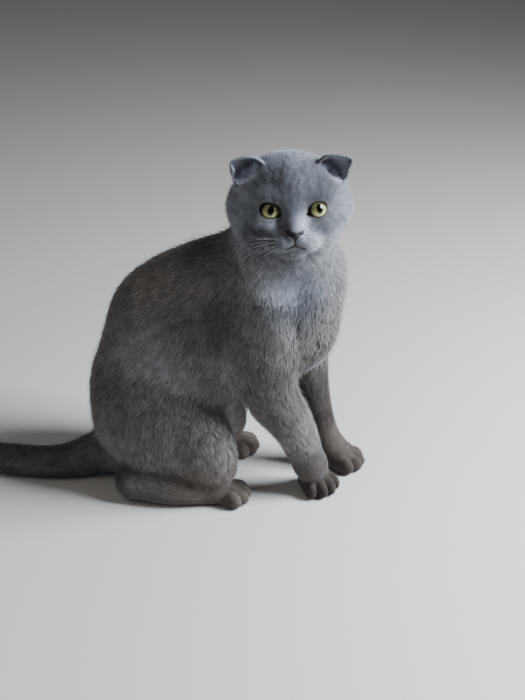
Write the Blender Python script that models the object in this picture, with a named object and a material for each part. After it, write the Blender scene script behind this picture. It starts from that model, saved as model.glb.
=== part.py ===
"""A Scottish Fold cat, life size, sitting upright with its head turned over its right side.

The cat is shaped like clay: ellipsoids and tapered tubes, placed by named points of the animal, are
melted together in a distance field, and the field's surface becomes one mesh. Thin flat cuts then
part that mesh into the head, ears, neck, torso, legs, paws and tail. The eyeballs are turned solids
in sockets. The solids reach out to the tips of the short coat.

Body frame: +Z up, the hips face -Y and the cat's left side is +X. Points are written in centimetres
from a point on the floor between the hind paws, and ORIGIN moves them so that the finished cat stands
centred on the world's origin.
"""

import itertools
import math

import bmesh
import bpy
import numpy as np
import openvdb
from mathutils import Matrix, Vector
from mathutils.kdtree import KDTree

CM = 0.01
ORIGIN = np.array([-0.745936, 11.814556, 0.0])  # centimetres, in the body frame

GAP = 0.0003  # between parts that touch
BODY_CELL = 0.0026  # metres, of the field round the body
HEAD_CELL = 0.0010  # metres, of the finer field round the head
EAR_CELL = 0.0008
BODY_TRIANGLES = 6800
HEAD_TRIANGLES = 6000
EAR_TRIANGLES = 560
FINE_FACTOR = 2e-6  # keeps fine what would otherwise be thinned out to about 0.1 mm
FAR = 1.0  # what an empty cell of a field holds
SHARP_ANGLE = math.radians(40)  # edges between steeper faces stay sharp

# The head's place and bearing, in centimetres and degrees
HEAD_CENTRE = (-3.7, -6.8, 31.8)  # behind the eyes, on the eye line
HEAD_YAW = 70.5  # from -Y towards the cat's right
HEAD_PITCH = 11.0  # above the horizon
CHEST_YAW = 26.0  # how far the forequarters turn to the right

# Eyes, in centimetres in the head's frame (left, up, forward)
EYE_SIDE = 1.98  # from the midline to an eye's centre
EYE_DEPTH = 2.5  # an eye's centre, forward of the head's
EYE_RADIUS = 1.02
EYE_OPENING = (0.80, 0.65)  # half width and half height of the cut between the lids
EYE_OUTWARD = 9.0  # degrees that an eye looks away from the nose
EYE_TIP = 12.0  # degrees that its outer corner is raised
LID = 0.16  # thickness of the lids over the eyeball

# Toes, in centimetres and degrees: how far each is to the left and ahead, and how far it splays
TOES = ((-1.32, 0.95, -14), (-0.47, 1.5, -4), (0.47, 1.5, 4), (1.32, 0.95, 14))

# The mouth and a nostril on the left side, in centimetres in the head's frame
LIPS = ((0.0, -3.32, 4.12), (0.4, -3.46, 4.06), (0.85, -3.5, 3.84), (1.3, -3.4, 3.5), (1.65, -3.2, 3.1))
NOSTRIL = ((0.3, -1.98, 4.56), (0.48, -1.92, 4.42), (0.7, -1.98, 4.26), (0.88, -2.12, 3.95))
# A folded ear, as lines from its inner end to its outer one: where it leaves the skull, the edge of
# the fold, and how far it bulges between the two
EAR_THICKNESS = 0.30
EAR_ROOT = (
    (2.5, 4.0, 1.6),
    (2.9, 4.15, 0.3),
    (3.7, 3.8, -0.6),
    (4.6, 2.9, -0.5),
    (4.8, 2.1, 0.2),
    (4.5, 1.9, 0.8),
)
EAR_RIM = (
    (2.4, 3.95, 1.7),
    (3.2, 4.45, 1.9),
    (4.2, 4.5, 2.0),
    (5.25, 4.1, 1.8),
    (4.95, 3.1, 1.4),
    (4.65, 2.2, 1.0),
)
EAR_BULGE = (
    (0.0, 0.1, 0.0),
    (0.0, 0.2, -0.2),
    (0.1, 0.25, -0.4),
    (0.3, 0.25, -0.4),
    (0.35, 0.1, -0.3),
    (0.1, 0.0, 0.0),
)


def at(x, y, z):
    """A point of the body, from centimetres in the body frame to metres in the world."""
    return (np.array([x, y, z], float) - ORIGIN) * CM


def turn_axes(pitch=0.0, yaw=0.0, roll=0.0):
    """Rows are a mass's own axes (left, back, up) after it is pitched, rolled and yawed, in degrees."""
    turned = (
        Matrix.Rotation(math.radians(-yaw), 3, "Z")
        @ Matrix.Rotation(math.radians(pitch), 3, "X")
        @ Matrix.Rotation(math.radians(roll), 3, "Y")
    )
    return np.array(turned.transposed())


def head_axes():
    """Rows are the head's left, up and forward axes."""
    yaw = math.radians(HEAD_YAW)
    pitch = math.radians(HEAD_PITCH)
    level = np.array([-math.sin(yaw), -math.cos(yaw), 0.0])
    forward = level * math.cos(pitch) + np.array([0.0, 0.0, math.sin(pitch)])
    left = np.cross([0.0, 0.0, 1.0], level)
    return np.array([left, np.cross(forward, left), forward])


HEAD_AXES = head_axes()


def in_head(left, up, forward):
    """A point of the head, from centimetres in the head's frame to metres in the world."""
    return at(*HEAD_CENTRE) + np.array([left, up, forward]) @ HEAD_AXES * CM


class Ball:
    """An ellipsoid with half lengths along its own axes, in centimetres."""

    def __init__(self, centre, half, axes=None):
        self.centre = np.asarray(centre, float)
        self.half = np.asarray(half, float) * CM
        self.axes = np.eye(3) if axes is None else np.asarray(axes)

    def box(self):
        reach = np.abs(self.axes * self.half[:, None]).sum(axis=0)
        return self.centre - reach, self.centre + reach

    def distance(self, points):
        local = (points - self.centre) @ self.axes.T
        near = np.linalg.norm(local / self.half, axis=-1)
        steep = np.linalg.norm(local / self.half**2, axis=-1)
        return near * (near - 1.0) / np.maximum(steep, 1e-6)


class Tube:
    """A round tube of changing radius, in centimetres, along a smooth curve through its points."""

    def __init__(self, points, radii, steps=6):
        points = np.asarray(points, float)
        self.points = smooth_through(points, steps)
        self.radii = smooth_through(np.asarray(radii, float)[:, None] * CM, steps)[:, 0]

    def box(self):
        reach = self.radii.max()
        return self.points.min(axis=0) - reach, self.points.max(axis=0) + reach

    def distance(self, points):
        nearest = np.full(points.shape[:-1], FAR)
        ends = zip(self.points[:-1], self.points[1:], self.radii[:-1], self.radii[1:])
        for start, end, first, last in ends:
            along = end - start
            share = np.clip((points - start) @ along / (along @ along), 0.0, 1.0)
            offset = points - start - share[..., None] * along
            reach = np.linalg.norm(offset, axis=-1) - (first + share * (last - first))
            nearest = np.minimum(nearest, reach)
        return nearest


class Melt:
    """Several shapes melted into one with a blend, in centimetres."""

    def __init__(self, shapes, blend):
        self.shapes = shapes
        self.blend = blend

    def box(self):
        boxes = [shape.box() for shape in self.shapes]
        return np.min([b[0] for b in boxes], axis=0), np.max([b[1] for b in boxes], axis=0)

    def distance(self, points):
        field = self.shapes[0].distance(points)
        for shape in self.shapes[1:]:
            field = melt(field, shape.distance(points), self.blend * CM)
        return field


def smooth_through(points, steps):
    """Points along a Catmull-Rom curve through the given ones."""
    padded = np.vstack([2 * points[0] - points[1], points, 2 * points[-1] - points[-2]])
    found = []
    for before, start, end, after in zip(padded, padded[1:], padded[2:], padded[3:]):
        for t in np.arange(steps) / steps:
            rise = (end - before) * t
            bend = (2 * before - 5 * start + 4 * end - after) * t**2
            twist = (3 * start - before - 3 * end + after) * t**3
            found.append(0.5 * (2 * start + rise + bend + twist))
    found.append(points[-1])
    return np.array(found)


def melt(a, b, blend):
    """The smooth union of two distance fields."""
    if blend <= 0:
        return np.minimum(a, b)
    share = np.clip(0.5 + 0.5 * (b - a) / blend, 0.0, 1.0)
    return b + (a - b) * share - blend * share * (1.0 - share)


class Clay:
    """A distance field on a grid of cells, in metres, that shapes are melted into and cut from."""

    def __init__(self, low, high, cell):
        self.low = np.asarray(low, float)
        self.cell = cell
        counts = np.ceil((np.asarray(high) - self.low) / cell).astype(int) + 1
        self.field = np.full(counts, FAR)

    def window(self, shape, blend):
        """The cells near a shape: their slices and their points."""
        low, high = shape.box()
        margin = blend * CM + 4 * self.cell
        first = np.floor((low - margin - self.low) / self.cell).astype(int)
        last = np.ceil((high + margin - self.low) / self.cell).astype(int) + 1
        first = np.clip(first, 0, self.field.shape)
        last = np.clip(last, 0, self.field.shape)
        slices = tuple(slice(a, b) for a, b in zip(first, last))
        axes = [self.low[i] + self.cell * np.arange(first[i], last[i]) for i in range(3)]
        return slices, np.stack(np.meshgrid(*axes, indexing="ij"), axis=-1)

    def add(self, shape, blend):
        slices, points = self.window(shape, blend)
        if points.size:
            self.field[slices] = melt(self.field[slices], shape.distance(points), blend * CM)

    def cut(self, shape, blend):
        slices, points = self.window(shape, blend)
        if points.size:
            self.field[slices] = -melt(-self.field[slices], shape.distance(points), blend * CM)

    def mesh(self, name):
        """A mesh of the field's zero surface."""
        grid = openvdb.FloatGrid(FAR)
        grid.copyFromArray(self.field.astype(np.float32))
        points, quads = grid.convertToQuads(isovalue=0.0)
        points = points * self.cell + self.low
        mesh = bpy.data.meshes.new(name)
        mesh.from_pydata(points.tolist(), [], quads.tolist())
        mesh.validate()
        return mesh


# The masses of the body. Each is a shape and the blend, in centimetres, that it melts in with.


def torso_masses():
    yield Ball(at(-0.6, 8.8, 7.4), (5.9, 5.7, 8.8)), 0.0  # pelvis
    yield Ball(at(-0.6, 5.0, 14.2), (6.1, 10.6, 7.4), turn_axes(pitch=-52)), 3.0  # barrel
    yield Ball(at(-0.6, 5.6, 17.9), (5.3, 6.3, 6.2)), 3.0  # loin
    yield Ball(at(-0.8, -1.8, 19.2), (5.4, 7.6, 6.2), turn_axes(pitch=-55, yaw=20)), 3.0  # rib cage
    breast_axes = turn_axes(pitch=-8, yaw=CHEST_YAW)
    yield Ball(at(-0.6, -6.6, 20.6), (4.6, 4.6, 6.4), breast_axes), 2.5
    yield Ball(at(-0.6, 2.6, 22.6), (3.6, 5.0, 3.6), turn_axes(pitch=-25)), 2.5  # withers


def neck_masses():
    spine = [at(-0.8, -1.0, 21.4), at(-1.4, -4.0, 25.4), at(-2.8, -6.0, 29.4)]
    yield Tube(spine, [5.0, 4.6, 4.3]), 2.5
    yield Ball(at(-1.4, -7.3, 24.2), (4.8, 4.3, 4.6), turn_axes(yaw=CHEST_YAW)), 2.0  # ruff
    yield Ball(at(-3.8, -7.4, 26.0), (3.4, 3.2, 3.4)), 1.6  # throat


def hind_leg_masses(side):
    """The thigh, shank and foot of one hind leg. side is +1 on the left and -1 on the right."""
    if side > 0:
        thigh, shank = at(3.4, 6.9, 8.0), at(4.3, 3.0, 6.4)
        sole = [at(5.0, 9.6, 1.95), at(5.3, 6.1, 1.8), at(5.3, 2.2, 1.5)]
        toes, heading = at(5.3, 1.1, 0.0), 3.0
    else:
        thigh, shank = at(-4.6, 5.9, 8.0), at(-5.2, 1.3, 6.4)
        sole = [at(-6.0, 8.6, 1.95), at(-5.9, 4.4, 1.8), at(-4.9, 0.6, 1.5)]
        toes, heading = at(-4.4, -0.6, 0.0), -2.0
    yield Ball(thigh, (3.4, 7.3, 5.8), turn_axes(pitch=20, yaw=side * 5)), 1.0
    yield Ball(shank, (2.3, 3.3, 4.9), turn_axes(pitch=-14, yaw=side * 5)), 0.9
    yield Tube(sole, [2.0, 1.85, 1.5]), 1.1
    yield paw(toes, heading=heading, size=0.95), 0.4


def foreleg_masses(side):
    """The shoulder, arm, forearm and paw of one foreleg."""
    if side > 0:
        joints = [at(2.6, -6.6, 17.6), at(3.3, -7.0, 12.4), at(4.3, -7.8, 7.6), at(4.9, -9.0, 3.2)]
        radii = [2.9, 2.25, 1.7, 1.4]
        toes, heading = at(5.15, -10.4, 0.0), 8.0
    else:
        yield Ball(at(-4.6, -4.2, 18.6), (2.3, 3.5, 5.2), turn_axes(pitch=14, yaw=20)), 1.1
        joints = [at(-4.1, -4.6, 16.6), at(-3.2, -4.9, 12.5), at(-2.1, -7.1, 8.1), at(-0.9, -8.5, 3.6)]
        radii = [3.2, 2.85, 2.15, 1.6]
        toes, heading = at(0.14, -8.8, 0.0), 40.0
    yield Tube(joints, radii), 1.4
    yield Tube([joints[-1], toes + np.array([0.0, 0.0, 1.6 * CM])], [radii[-1], 1.5], steps=3), 0.8
    yield paw(toes, heading=heading, size=1.0), 0.4


def paw(place, heading, size):
    """A paw on the floor. Its four toes are side by side with creases between them.

    heading is how far it points to the cat's right of -Y, in degrees.
    """
    angle = math.radians(heading)
    forward = np.array([-math.sin(angle), -math.cos(angle), 0.0])
    left = np.array([math.cos(angle), -math.sin(angle), 0.0])
    lift = np.array([0.0, 0.0, 1.0])
    toes = []
    for across, ahead, splay in TOES:
        bend = math.radians(splay)
        toe_forward = forward * math.cos(bend) + left * math.sin(bend)
        toe_left = left * math.cos(bend) - forward * math.sin(bend)
        centre = place + (left * across + forward * ahead + lift * 0.95) * size * CM
        axes = np.array([toe_left, toe_forward, lift])
        toes.append(Ball(centre, np.array((0.62, 1.15, 1.05)) * size, axes))
    palm_half = np.array((1.7, 1.8, 1.4)) * size
    palm = Ball(place + lift * 1.15 * size * CM, palm_half, [left, forward, lift])
    return Melt([Melt(toes, 0.08), palm], 0.4)


def tail_masses():
    line = [
        at(-0.9, 9.6, 4.6),
        at(-2.4, 13.2, 2.8),
        at(-4.1, 17.3, 1.75),
        at(-4.9, 22.0, 1.6),
        at(-4.7, 27.0, 1.5),
        at(-3.6, 31.8, 1.4),
        at(-1.9, 35.6, 1.15),
    ]
    yield Tube(line, [3.1, 2.4, 1.8, 1.7, 1.6, 1.5, 1.1], steps=8), 1.6


# The head. Its points are (side, up, forward) in centimetres in the head's frame.


def skull_masses():
    yield head_ball(0, 0.75, -0.9, 4.8, 4.1, 4.4), 1.5  # cranium
    yield head_ball(0, 1.4, 0.7, 3.8, 2.9, 2.7), 1.0  # forehead
    for side in (-1, 1):
        yield head_ball(side * 2.85, -0.1, -0.3, 2.85, 2.9, 3.1), 1.2  # cheek
        yield head_ball(side * 1.75, -2.2, 0.9, 2.2, 2.0, 2.3), 1.2  # jowl
        yield head_ball(side * 1.9, 1.25, 2.2, 1.8, 0.8, 1.2), 0.8  # brow
        yield head_ball(side * 2.0, -1.5, 2.1, 1.7, 1.0, 1.25), 0.9  # cheekbone
    bridge = [(0, 1.8, 2.3), (0, 0.1, 2.6), (0, -1.1, 3.2), (0, -1.75, 3.8)]
    yield Tube([in_head(*point) for point in bridge], [1.5, 1.3, 0.95, 0.72]), 0.9


def muzzle_masses():
    for side in (-1, 1):
        yield head_ball(side * 0.95, -2.7, 3.0, 1.4, 1.0, 1.35), 0.7  # whisker pad
        yield head_ball(side * 0.5, -1.95, 4.05, 0.38, 0.3, 0.42), 0.2  # wing of the nose
    yield head_ball(0, -1.95, 4.15, 0.55, 0.42, 0.5), 0.2  # tip of the nose
    yield head_ball(0, -3.75, 2.7, 0.95, 0.55, 1.0), 0.6  # chin


def head_ball(side, up, forward, half_side, half_up, half_forward):
    return Ball(in_head(side, up, forward), (half_side, half_up, half_forward), HEAD_AXES)


def face_cuts():
    """What is cut into the face: each is a shape and its blend, in centimetres."""
    groove = [in_head(0, -2.3, 4.56), in_head(0, -2.75, 4.32), in_head(0, -3.3, 4.14)]
    yield Tube(groove, [0.06, 0.1, 0.12]), 0.12
    for side in (-1, 1):
        points = [in_head(side * across, up, forward) for across, up, forward in LIPS]
        yield Tube(points, [0.12, 0.13, 0.13, 0.11, 0.07]), 0.14
        points = [in_head(side * across, up, forward) for across, up, forward in NOSTRIL]
        yield Tube(points, [0.1, 0.12, 0.08, 0.05]), 0.06


def lid_masses(side):
    yield Ball(eye_centre(side), [EYE_RADIUS + LID] * 3), 0.35


def eye_axes(side):
    """Rows are the axes of one eye's opening. It looks a little outwards, its outer corner raised."""
    outward = Matrix.Rotation(math.radians(side * EYE_OUTWARD), 3, "Y")
    tip = Matrix.Rotation(math.radians(side * EYE_TIP), 3, "Z")
    return np.array((outward @ tip).transposed()) @ HEAD_AXES


def eye_centre(side):
    return in_head(side * EYE_SIDE, 0, EYE_DEPTH)


def eye_opening(side):
    """The almond between the lids."""
    axes = eye_axes(side)
    return Ball(eye_centre(side) + axes[2] * 0.85 * CM, (*EYE_OPENING, 0.95), axes)


class Leaf:
    """A thin shell, as thick as twice its radius in centimetres, through a fine grid of points."""

    def __init__(self, points, radius):
        self.points = points.reshape(-1, 3)
        self.radius = radius * CM

    def box(self):
        return self.points.min(axis=0) - self.radius, self.points.max(axis=0) + self.radius

    def distance(self, points):
        tree = KDTree(len(self.points))
        for index, point in enumerate(self.points):
            tree.insert(point, index)
        tree.balance()
        reach = [tree.find(point)[2] for point in points.reshape(-1, 3)]
        return np.array(reach).reshape(points.shape[:-1]) - self.radius


def sunk(points, depth):
    """Points moved along the skull's slope until they lie so many centimetres inside it."""
    step = 0.1 * CM
    for _ in range(4):
        level = skull_field(points)
        rises = []
        for shift in np.eye(3) * step:
            rises.append(skull_field(points + shift) - skull_field(points - shift))
        slope = np.stack(rises, axis=-1)
        slope /= np.linalg.norm(slope, axis=-1, keepdims=True)
        points = points - slope * (level + depth * CM)[:, None]
    return points


def skull_field(points):
    field = np.full(points.shape[:-1], FAR)
    for shape, blend in skull_masses():
        field = melt(field, shape.distance(points), blend * CM)
    return field


def ear_leaf(side):
    """One folded ear. It rises from a horseshoe on the skull and leans forward like a visor."""
    root, rim, bulge = [smooth_through(np.array(line), 14) for line in (EAR_ROOT, EAR_RIM, EAR_BULGE)]
    grid = []
    for share in np.linspace(0.0, 1.0, 40):
        line = root * (1 - share) + rim * share + bulge * 2.4 * share * (1 - share)
        grid.append(np.array([in_head(side * point[0], point[1], point[2]) for point in line]))
    in_skull = sunk(grid[0], 0.35)
    grid = list(np.linspace(in_skull, grid[0], 8)[:-1]) + grid
    return Leaf(np.array(grid), EAR_THICKNESS / 2)


def ear_hollow(side):
    return head_ball(side * 3.95, 3.0, 0.9, 0.95, 0.8, 0.9)


def all_masses():
    yield from torso_masses()
    yield from neck_masses()
    for side in (-1, 1):
        yield from hind_leg_masses(side)
        yield from foreleg_masses(side)
    yield from tail_masses()
    yield from skull_masses()
    yield from muzzle_masses()
    for side in (-1, 1):
        yield from lid_masses(side)


def sculpt_body():
    clay = Clay(at(-11, -16, -1.5), at(10.5, 40, 39), BODY_CELL)
    for shape, blend in all_masses():
        clay.add(shape, blend)
    return clay.mesh("body")


def sculpt_head():
    centre = at(*HEAD_CENTRE)
    clay = Clay(centre - 7.6 * CM, centre + 6.6 * CM, HEAD_CELL)
    for shape, blend in all_masses():
        clay.add(shape, blend)
    for shape, blend in face_cuts():
        clay.cut(shape, blend)
    for side in (-1, 1):
        clay.cut(ear_hollow(side), 0.5)
        clay.cut(eye_opening(side), 0.08)
    return clay.mesh("head")


def sculpt_ear(side):
    leaf = ear_leaf(side)
    low, high = leaf.box()
    clay = Clay(low - 3 * EAR_CELL, high + 3 * EAR_CELL, EAR_CELL)
    clay.add(leaf, 0.0)
    return clay.mesh("ear")


# From clay to parts.


def put(name, mesh):
    obj = bpy.data.objects.new(name, mesh)
    bpy.context.scene.collection.objects.link(obj)
    return obj


def bake(obj):
    """Replaces an object's mesh with what its modifiers make of it."""
    bpy.context.view_layer.update()
    evaluated = obj.evaluated_get(bpy.context.evaluated_depsgraph_get())
    mesh = bpy.data.meshes.new_from_object(evaluated)
    obj.modifiers.clear()
    obj.data = mesh
    return obj


def thin_out(obj, triangles, fine=None):
    """Decimates a mesh to a number of triangles. fine(points) gives 1 where most are to be kept."""
    obj.modifiers.new("triangles", "TRIANGULATE")
    bake(obj)
    modifier = obj.modifiers.new("thin", "DECIMATE")
    modifier.ratio = triangles / len(obj.data.polygons)
    if fine is not None:
        points = np.array([vertex.co[:] for vertex in obj.data.vertices])
        group = obj.vertex_groups.new(name="fine")
        for index, weight in enumerate(fine(points)):
            group.add([index], float(weight), "REPLACE")
        modifier.vertex_group = "fine"
        modifier.invert_vertex_group = True
        modifier.vertex_group_factor = FINE_FACTOR
    bake(obj)
    obj.vertex_groups.clear()
    return obj


def subtract(obj, cutter):
    modifier = obj.modifiers.new("cut", "BOOLEAN")
    modifier.operation = "DIFFERENCE"
    modifier.object = cutter
    bake(obj)
    bpy.data.objects.remove(cutter)
    return obj


BOX_FACES = ((0, 1, 3, 2), (4, 6, 7, 5), (0, 4, 5, 1), (2, 3, 7, 6), (0, 2, 6, 4), (1, 5, 7, 3))


def bent_plate(line, across, reach, thickness=GAP):
    """A plate along a line of points, its width across between the two reaches, all in metres."""
    line = np.array(line, float)
    across = np.array(across, float)
    along = np.diff(line, axis=0)
    along /= np.linalg.norm(along, axis=1, keepdims=True)
    sides = np.cross(along, across)
    normals = [sides[0]]
    for first, second in zip(sides[:-1], sides[1:]):
        normals.append((first + second) / (1.0 + first @ second))
    normals.append(sides[-1])
    verts = []
    for point, normal in zip(line, normals):
        for offset, end in ((-0.5, 0), (0.5, 0), (0.5, 1), (-0.5, 1)):
            verts.append(point + normal * offset * thickness + across * reach[end])
    faces = [(0, 1, 2, 3)]
    for ring in range(len(line) - 1):
        for corner in range(4):
            after = (corner + 1) % 4
            here, there = 4 * ring, 4 * ring + 4
            faces.append((here + corner, there + corner, there + after, here + after))
    last = 4 * (len(line) - 1)
    faces.append((last + 3, last + 2, last + 1, last))
    mesh = bpy.data.meshes.new("plate")
    mesh.from_pydata([tuple(v) for v in verts], [], faces)
    return put("plate", facing_out(mesh))


def slab(centre, normal, half):
    """A flat plate of half-width half, in centimetres, square to a normal."""
    normal = np.array(normal, float) / np.linalg.norm(normal)
    across = np.cross(normal, [0.0, 1.0, 0.0] if abs(normal[1]) < 0.8 else [1.0, 0.0, 0.0])
    across /= np.linalg.norm(across)
    along = np.cross(normal, across) * half * CM
    return bent_plate([centre - along, centre + along], across, (-half * CM, half * CM))


def thin_walled_box(sides):
    """A closed box with walls of the gap's thickness.

    sides holds three pairs of opposite sides, each a point in metres and its outward normal.
    """
    outer = box_shell(sides, 0.0)
    inner = box_shell(sides, GAP)
    inner.flip_normals()
    work = bmesh.new()
    work.from_mesh(outer)
    work.from_mesh(inner)
    mesh = bpy.data.meshes.new("box")
    work.to_mesh(mesh)
    work.free()
    return put("box", mesh)


def box_shell(sides, inset):
    """A box between three pairs of sides, each moved inwards by an inset in metres."""
    corners = []
    for chosen in itertools.product(*sides):
        normals = np.array([normal for _, normal in chosen], float)
        normals /= np.linalg.norm(normals, axis=1, keepdims=True)
        reach = [normal @ point - inset for (point, _), normal in zip(chosen, normals)]
        corners.append(tuple(np.linalg.solve(normals, reach)))
    mesh = bpy.data.meshes.new("shell")
    mesh.from_pydata(corners, [], BOX_FACES)
    return facing_out(mesh)


def facing_out(mesh):
    work = bmesh.new()
    work.from_mesh(mesh)
    bmesh.ops.recalc_face_normals(work, faces=work.faces)
    work.to_mesh(mesh)
    work.free()
    return mesh


def part_off(obj, cutter, points):
    """Cuts an object through and returns a mesh object for each point: the piece nearest to it."""
    subtract(obj, cutter)
    work = bmesh.new()
    work.from_mesh(obj.data)
    work.verts.index_update()
    places = np.array([vertex.co[:] for vertex in work.verts])
    piece_of = np.full(len(places), -1)
    for start in work.verts:
        if piece_of[start.index] >= 0:
            continue
        waiting = [start]
        piece_of[start.index] = start.index
        while waiting:
            for edge in waiting.pop().link_edges:
                for vertex in edge.verts:
                    if piece_of[vertex.index] < 0:
                        piece_of[vertex.index] = start.index
                        waiting.append(vertex)
    work.free()
    pieces = []
    for point in points:
        piece = piece_of[np.argmin(np.linalg.norm(places - point, axis=1))]
        pieces.append(put("piece", kept(obj.data, piece_of == piece)))
    bpy.data.objects.remove(obj)
    return pieces


def kept(mesh, chosen):
    """A copy of a mesh with only the chosen vertices."""
    work = bmesh.new()
    work.from_mesh(mesh)
    work.verts.ensure_lookup_table()
    dropped = [work.verts[index] for index in np.flatnonzero(~chosen)]
    bmesh.ops.delete(work, geom=dropped, context="VERTS")
    copy = bpy.data.meshes.new("piece")
    work.to_mesh(copy)
    work.free()
    return copy


def eyeball(side, radius):
    """A sphere in metres round one eye, its poles on the line of sight."""
    mesh = bpy.data.meshes.new("eye")
    work = bmesh.new()
    bmesh.ops.create_uvsphere(work, u_segments=18, v_segments=12, radius=radius)
    frame = Matrix(eye_axes(side).tolist()).transposed().to_4x4()
    frame.translation = Vector(eye_centre(side))
    bmesh.ops.transform(work, matrix=frame, verts=work.verts)
    bmesh.ops.triangulate(work, faces=work.faces)
    work.to_mesh(mesh)
    work.free()
    return facing_out(mesh)


def swollen(mesh, distance):
    """A copy of a mesh pushed out along its vertex normals, in metres."""
    copy = mesh.copy()
    shift = [vertex.normal * distance for vertex in mesh.vertices]
    for vertex, move in zip(copy.vertices, shift):
        vertex.co = vertex.co + move
    return copy


def head_detail(points):
    """1 round the eyes, nose and mouth, half that on the rest of the face and 0 behind it."""
    local = (points - at(*HEAD_CENTRE)) @ HEAD_AXES.T / CM
    detail = 0.4 * np.clip((local[:, 2] - 1.0) / 1.5, 0.0, 1.0)
    spots = [((0.0, -2.6, 4.2), 2.4), ((EYE_SIDE, 0.0, 3.3), 1.6), ((-EYE_SIDE, 0.0, 3.3), 1.6)]
    for spot, reach in spots:
        far = np.linalg.norm(local - spot, axis=1)
        detail = np.maximum(detail, np.clip(2.0 * (reach - far) / reach, 0.0, 1.0))
    return detail


def neck_cut():
    return slab(at(-2.6, -5.9, 27.7), (-0.15, -0.4, 0.9), 11.0)


def cut_floor(body):
    """Cuts off what is below the floor, which leaves the small flats that the cat stands on."""
    below = [at(0, -30, -4), at(0, 60, -4)]
    return subtract(body, bent_plate(below, (1, 0, 0), (-0.4, 0.4), 8 * CM))


def part_body(body):
    """The neck, tail, legs, paws and torso, by name."""
    parts = {}
    heart = at(0, 5, 15)
    upper, rest = part_off(body, neck_cut(), [at(-3, -6, 36), heart])
    bpy.data.objects.remove(upper)
    cut = slab(at(-1.2, -5.0, 23.4), (-0.1, -0.42, 0.9), 13.0)
    parts["neck"], rest = part_off(rest, cut, [at(-3, -6, 26), heart])

    cut = slab(at(-2.9, 14.4, 2.6), (-0.4, 1.0, -0.3), 4.2)
    tail, rest = part_off(rest, cut, [at(-4.8, 25, 2), heart])
    cut = slab(at(-4.4, 28.6, 2.0), (0.2, 1.0, 0), 5.0)
    parts["tail_tip"], tail = part_off(tail, cut, [at(-1.9, 36, 1), at(-4.8, 20, 2)])
    cut = slab(at(-4.8, 20.4, 2.0), (-0.1, 1.0, 0), 5.0)
    parts["tail_middle"], parts["tail_base"] = part_off(tail, cut, [at(-4.8, 25, 2), at(-3.2, 15.5, 2.4)])

    line = [at(0, -5.0, -1.0), at(0, -3.1, 10.0), at(0, -13.0, 16.4)]
    cut = bent_plate(line, (1, 0, 0), (-0.12, 0.12))
    left, right, rest = part_off(rest, cut, [at(5.0, -9, 2), at(-0.5, -8.5, 2), heart])
    cut = slab(at(5.0, -9.0, 3.1), (0, 0, 1), 4.0)
    parts["foreleg_left"], parts["forepaw_left"] = part_off(left, cut, [at(4, -7, 9), at(5.1, -12, 0)])
    cut = slab(at(-0.2, -9.0, 3.1), (0, 0, 1), 4.0)
    parts["foreleg_right"], parts["forepaw_right"] = part_off(right, cut, [at(-2, -7, 9), at(-0.2, -10, 0)])

    for side, name in ((1, "left"), (-1, "right")):
        thigh, rest = part_off(rest, thigh_box(side), [at(-0.6 + side * 8, 4, 8), at(0, 5, 18)])
        cut = slab(at(-0.6 + side * 6, 4.0, 3.3), (0, 0.03, 1), 12.0)
        ends = [at(-0.6 + side * 7, 4, 9), at(-0.6 + side * 4.7, -2, 0)]
        parts[f"thigh_{name}"], parts[f"hind_foot_{name}"] = part_off(thigh, cut, ends)
    parts["torso"] = rest
    return parts


def thigh_box(side):
    """A thin-walled box that parts one thigh and its foot from the torso."""
    inner = at(-0.6 + side * 3.1, -3.6, 11.0)
    outer = at(-0.6 + side * 14, 20, -2)
    return thin_walled_box(
        [
            [(inner, (-side, 0, 0)), (outer, (side, 0, 0))],
            [(inner, (0, -1, 0)), (outer, (0, 1, 0))],
            [(inner, (-0.46 * side, -0.25, 0.85)), (outer, (0, 0, -1))],
        ]
    )


def part_head(head):
    """The head, with sockets and grooves, and the eyes and ears that fit them, by name."""
    head, lower = part_off(head, neck_cut(), [at(-3, -6, 36), at(*HEAD_CENTRE) - [0, 0, 7.4 * CM]])
    bpy.data.objects.remove(lower)
    parts = {"head": head}
    for side, name in ((1, "left"), (-1, "right")):
        parts[f"eye_{name}"] = put("eye", eyeball(side, EYE_RADIUS * CM))
        subtract(head, put("socket", eyeball(side, EYE_RADIUS * CM + GAP)))
        ear = thin_out(put("ear", sculpt_ear(side)), EAR_TRIANGLES)
        subtract(head, put("groove", swollen(ear.data, GAP * 1.3)))
        parts[f"ear_{name}"] = ear
    return parts


def material(name, colour, roughness):
    made = bpy.data.materials.new(name)
    made.use_nodes = True
    shader = made.node_tree.nodes["Principled BSDF"]
    shader.inputs["Base Color"].default_value = (*colour, 1.0)
    shader.inputs["Roughness"].default_value = roughness
    return made


def main():
    for obj in list(bpy.data.objects):
        bpy.data.objects.remove(obj)

    body = thin_out(put("body", sculpt_body()), BODY_TRIANGLES)
    parts = part_body(cut_floor(body))
    head = thin_out(put("head", sculpt_head()), HEAD_TRIANGLES, head_detail)
    parts.update(part_head(head))

    coat = material("Coat", (0.20, 0.21, 0.23), 0.9)
    iris = material("Eye", (0.62, 0.55, 0.20), 0.15)
    for name, obj in parts.items():
        obj.name = name
        obj.data.name = name
        obj.data.materials.clear()
        obj.data.materials.append(iris if name.startswith("eye") else coat)
        obj.data.shade_smooth()
        obj.data.set_sharp_from_angle(angle=SHARP_ANGLE)


if __name__ == "__main__":
    main()
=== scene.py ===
"""The looks of a Scottish Fold cat, sitting with its head turned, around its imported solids.

One skin is sculpted from the same masses as the solids, sunk by the depth of the coat, and small
tapered tufts of solid mesh stand on it all over. Eyes and whiskers are separate pieces.
Points are in centimetres in the body frame, or in the head's own frame, as each function says.
"""

import itertools
import math

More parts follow.
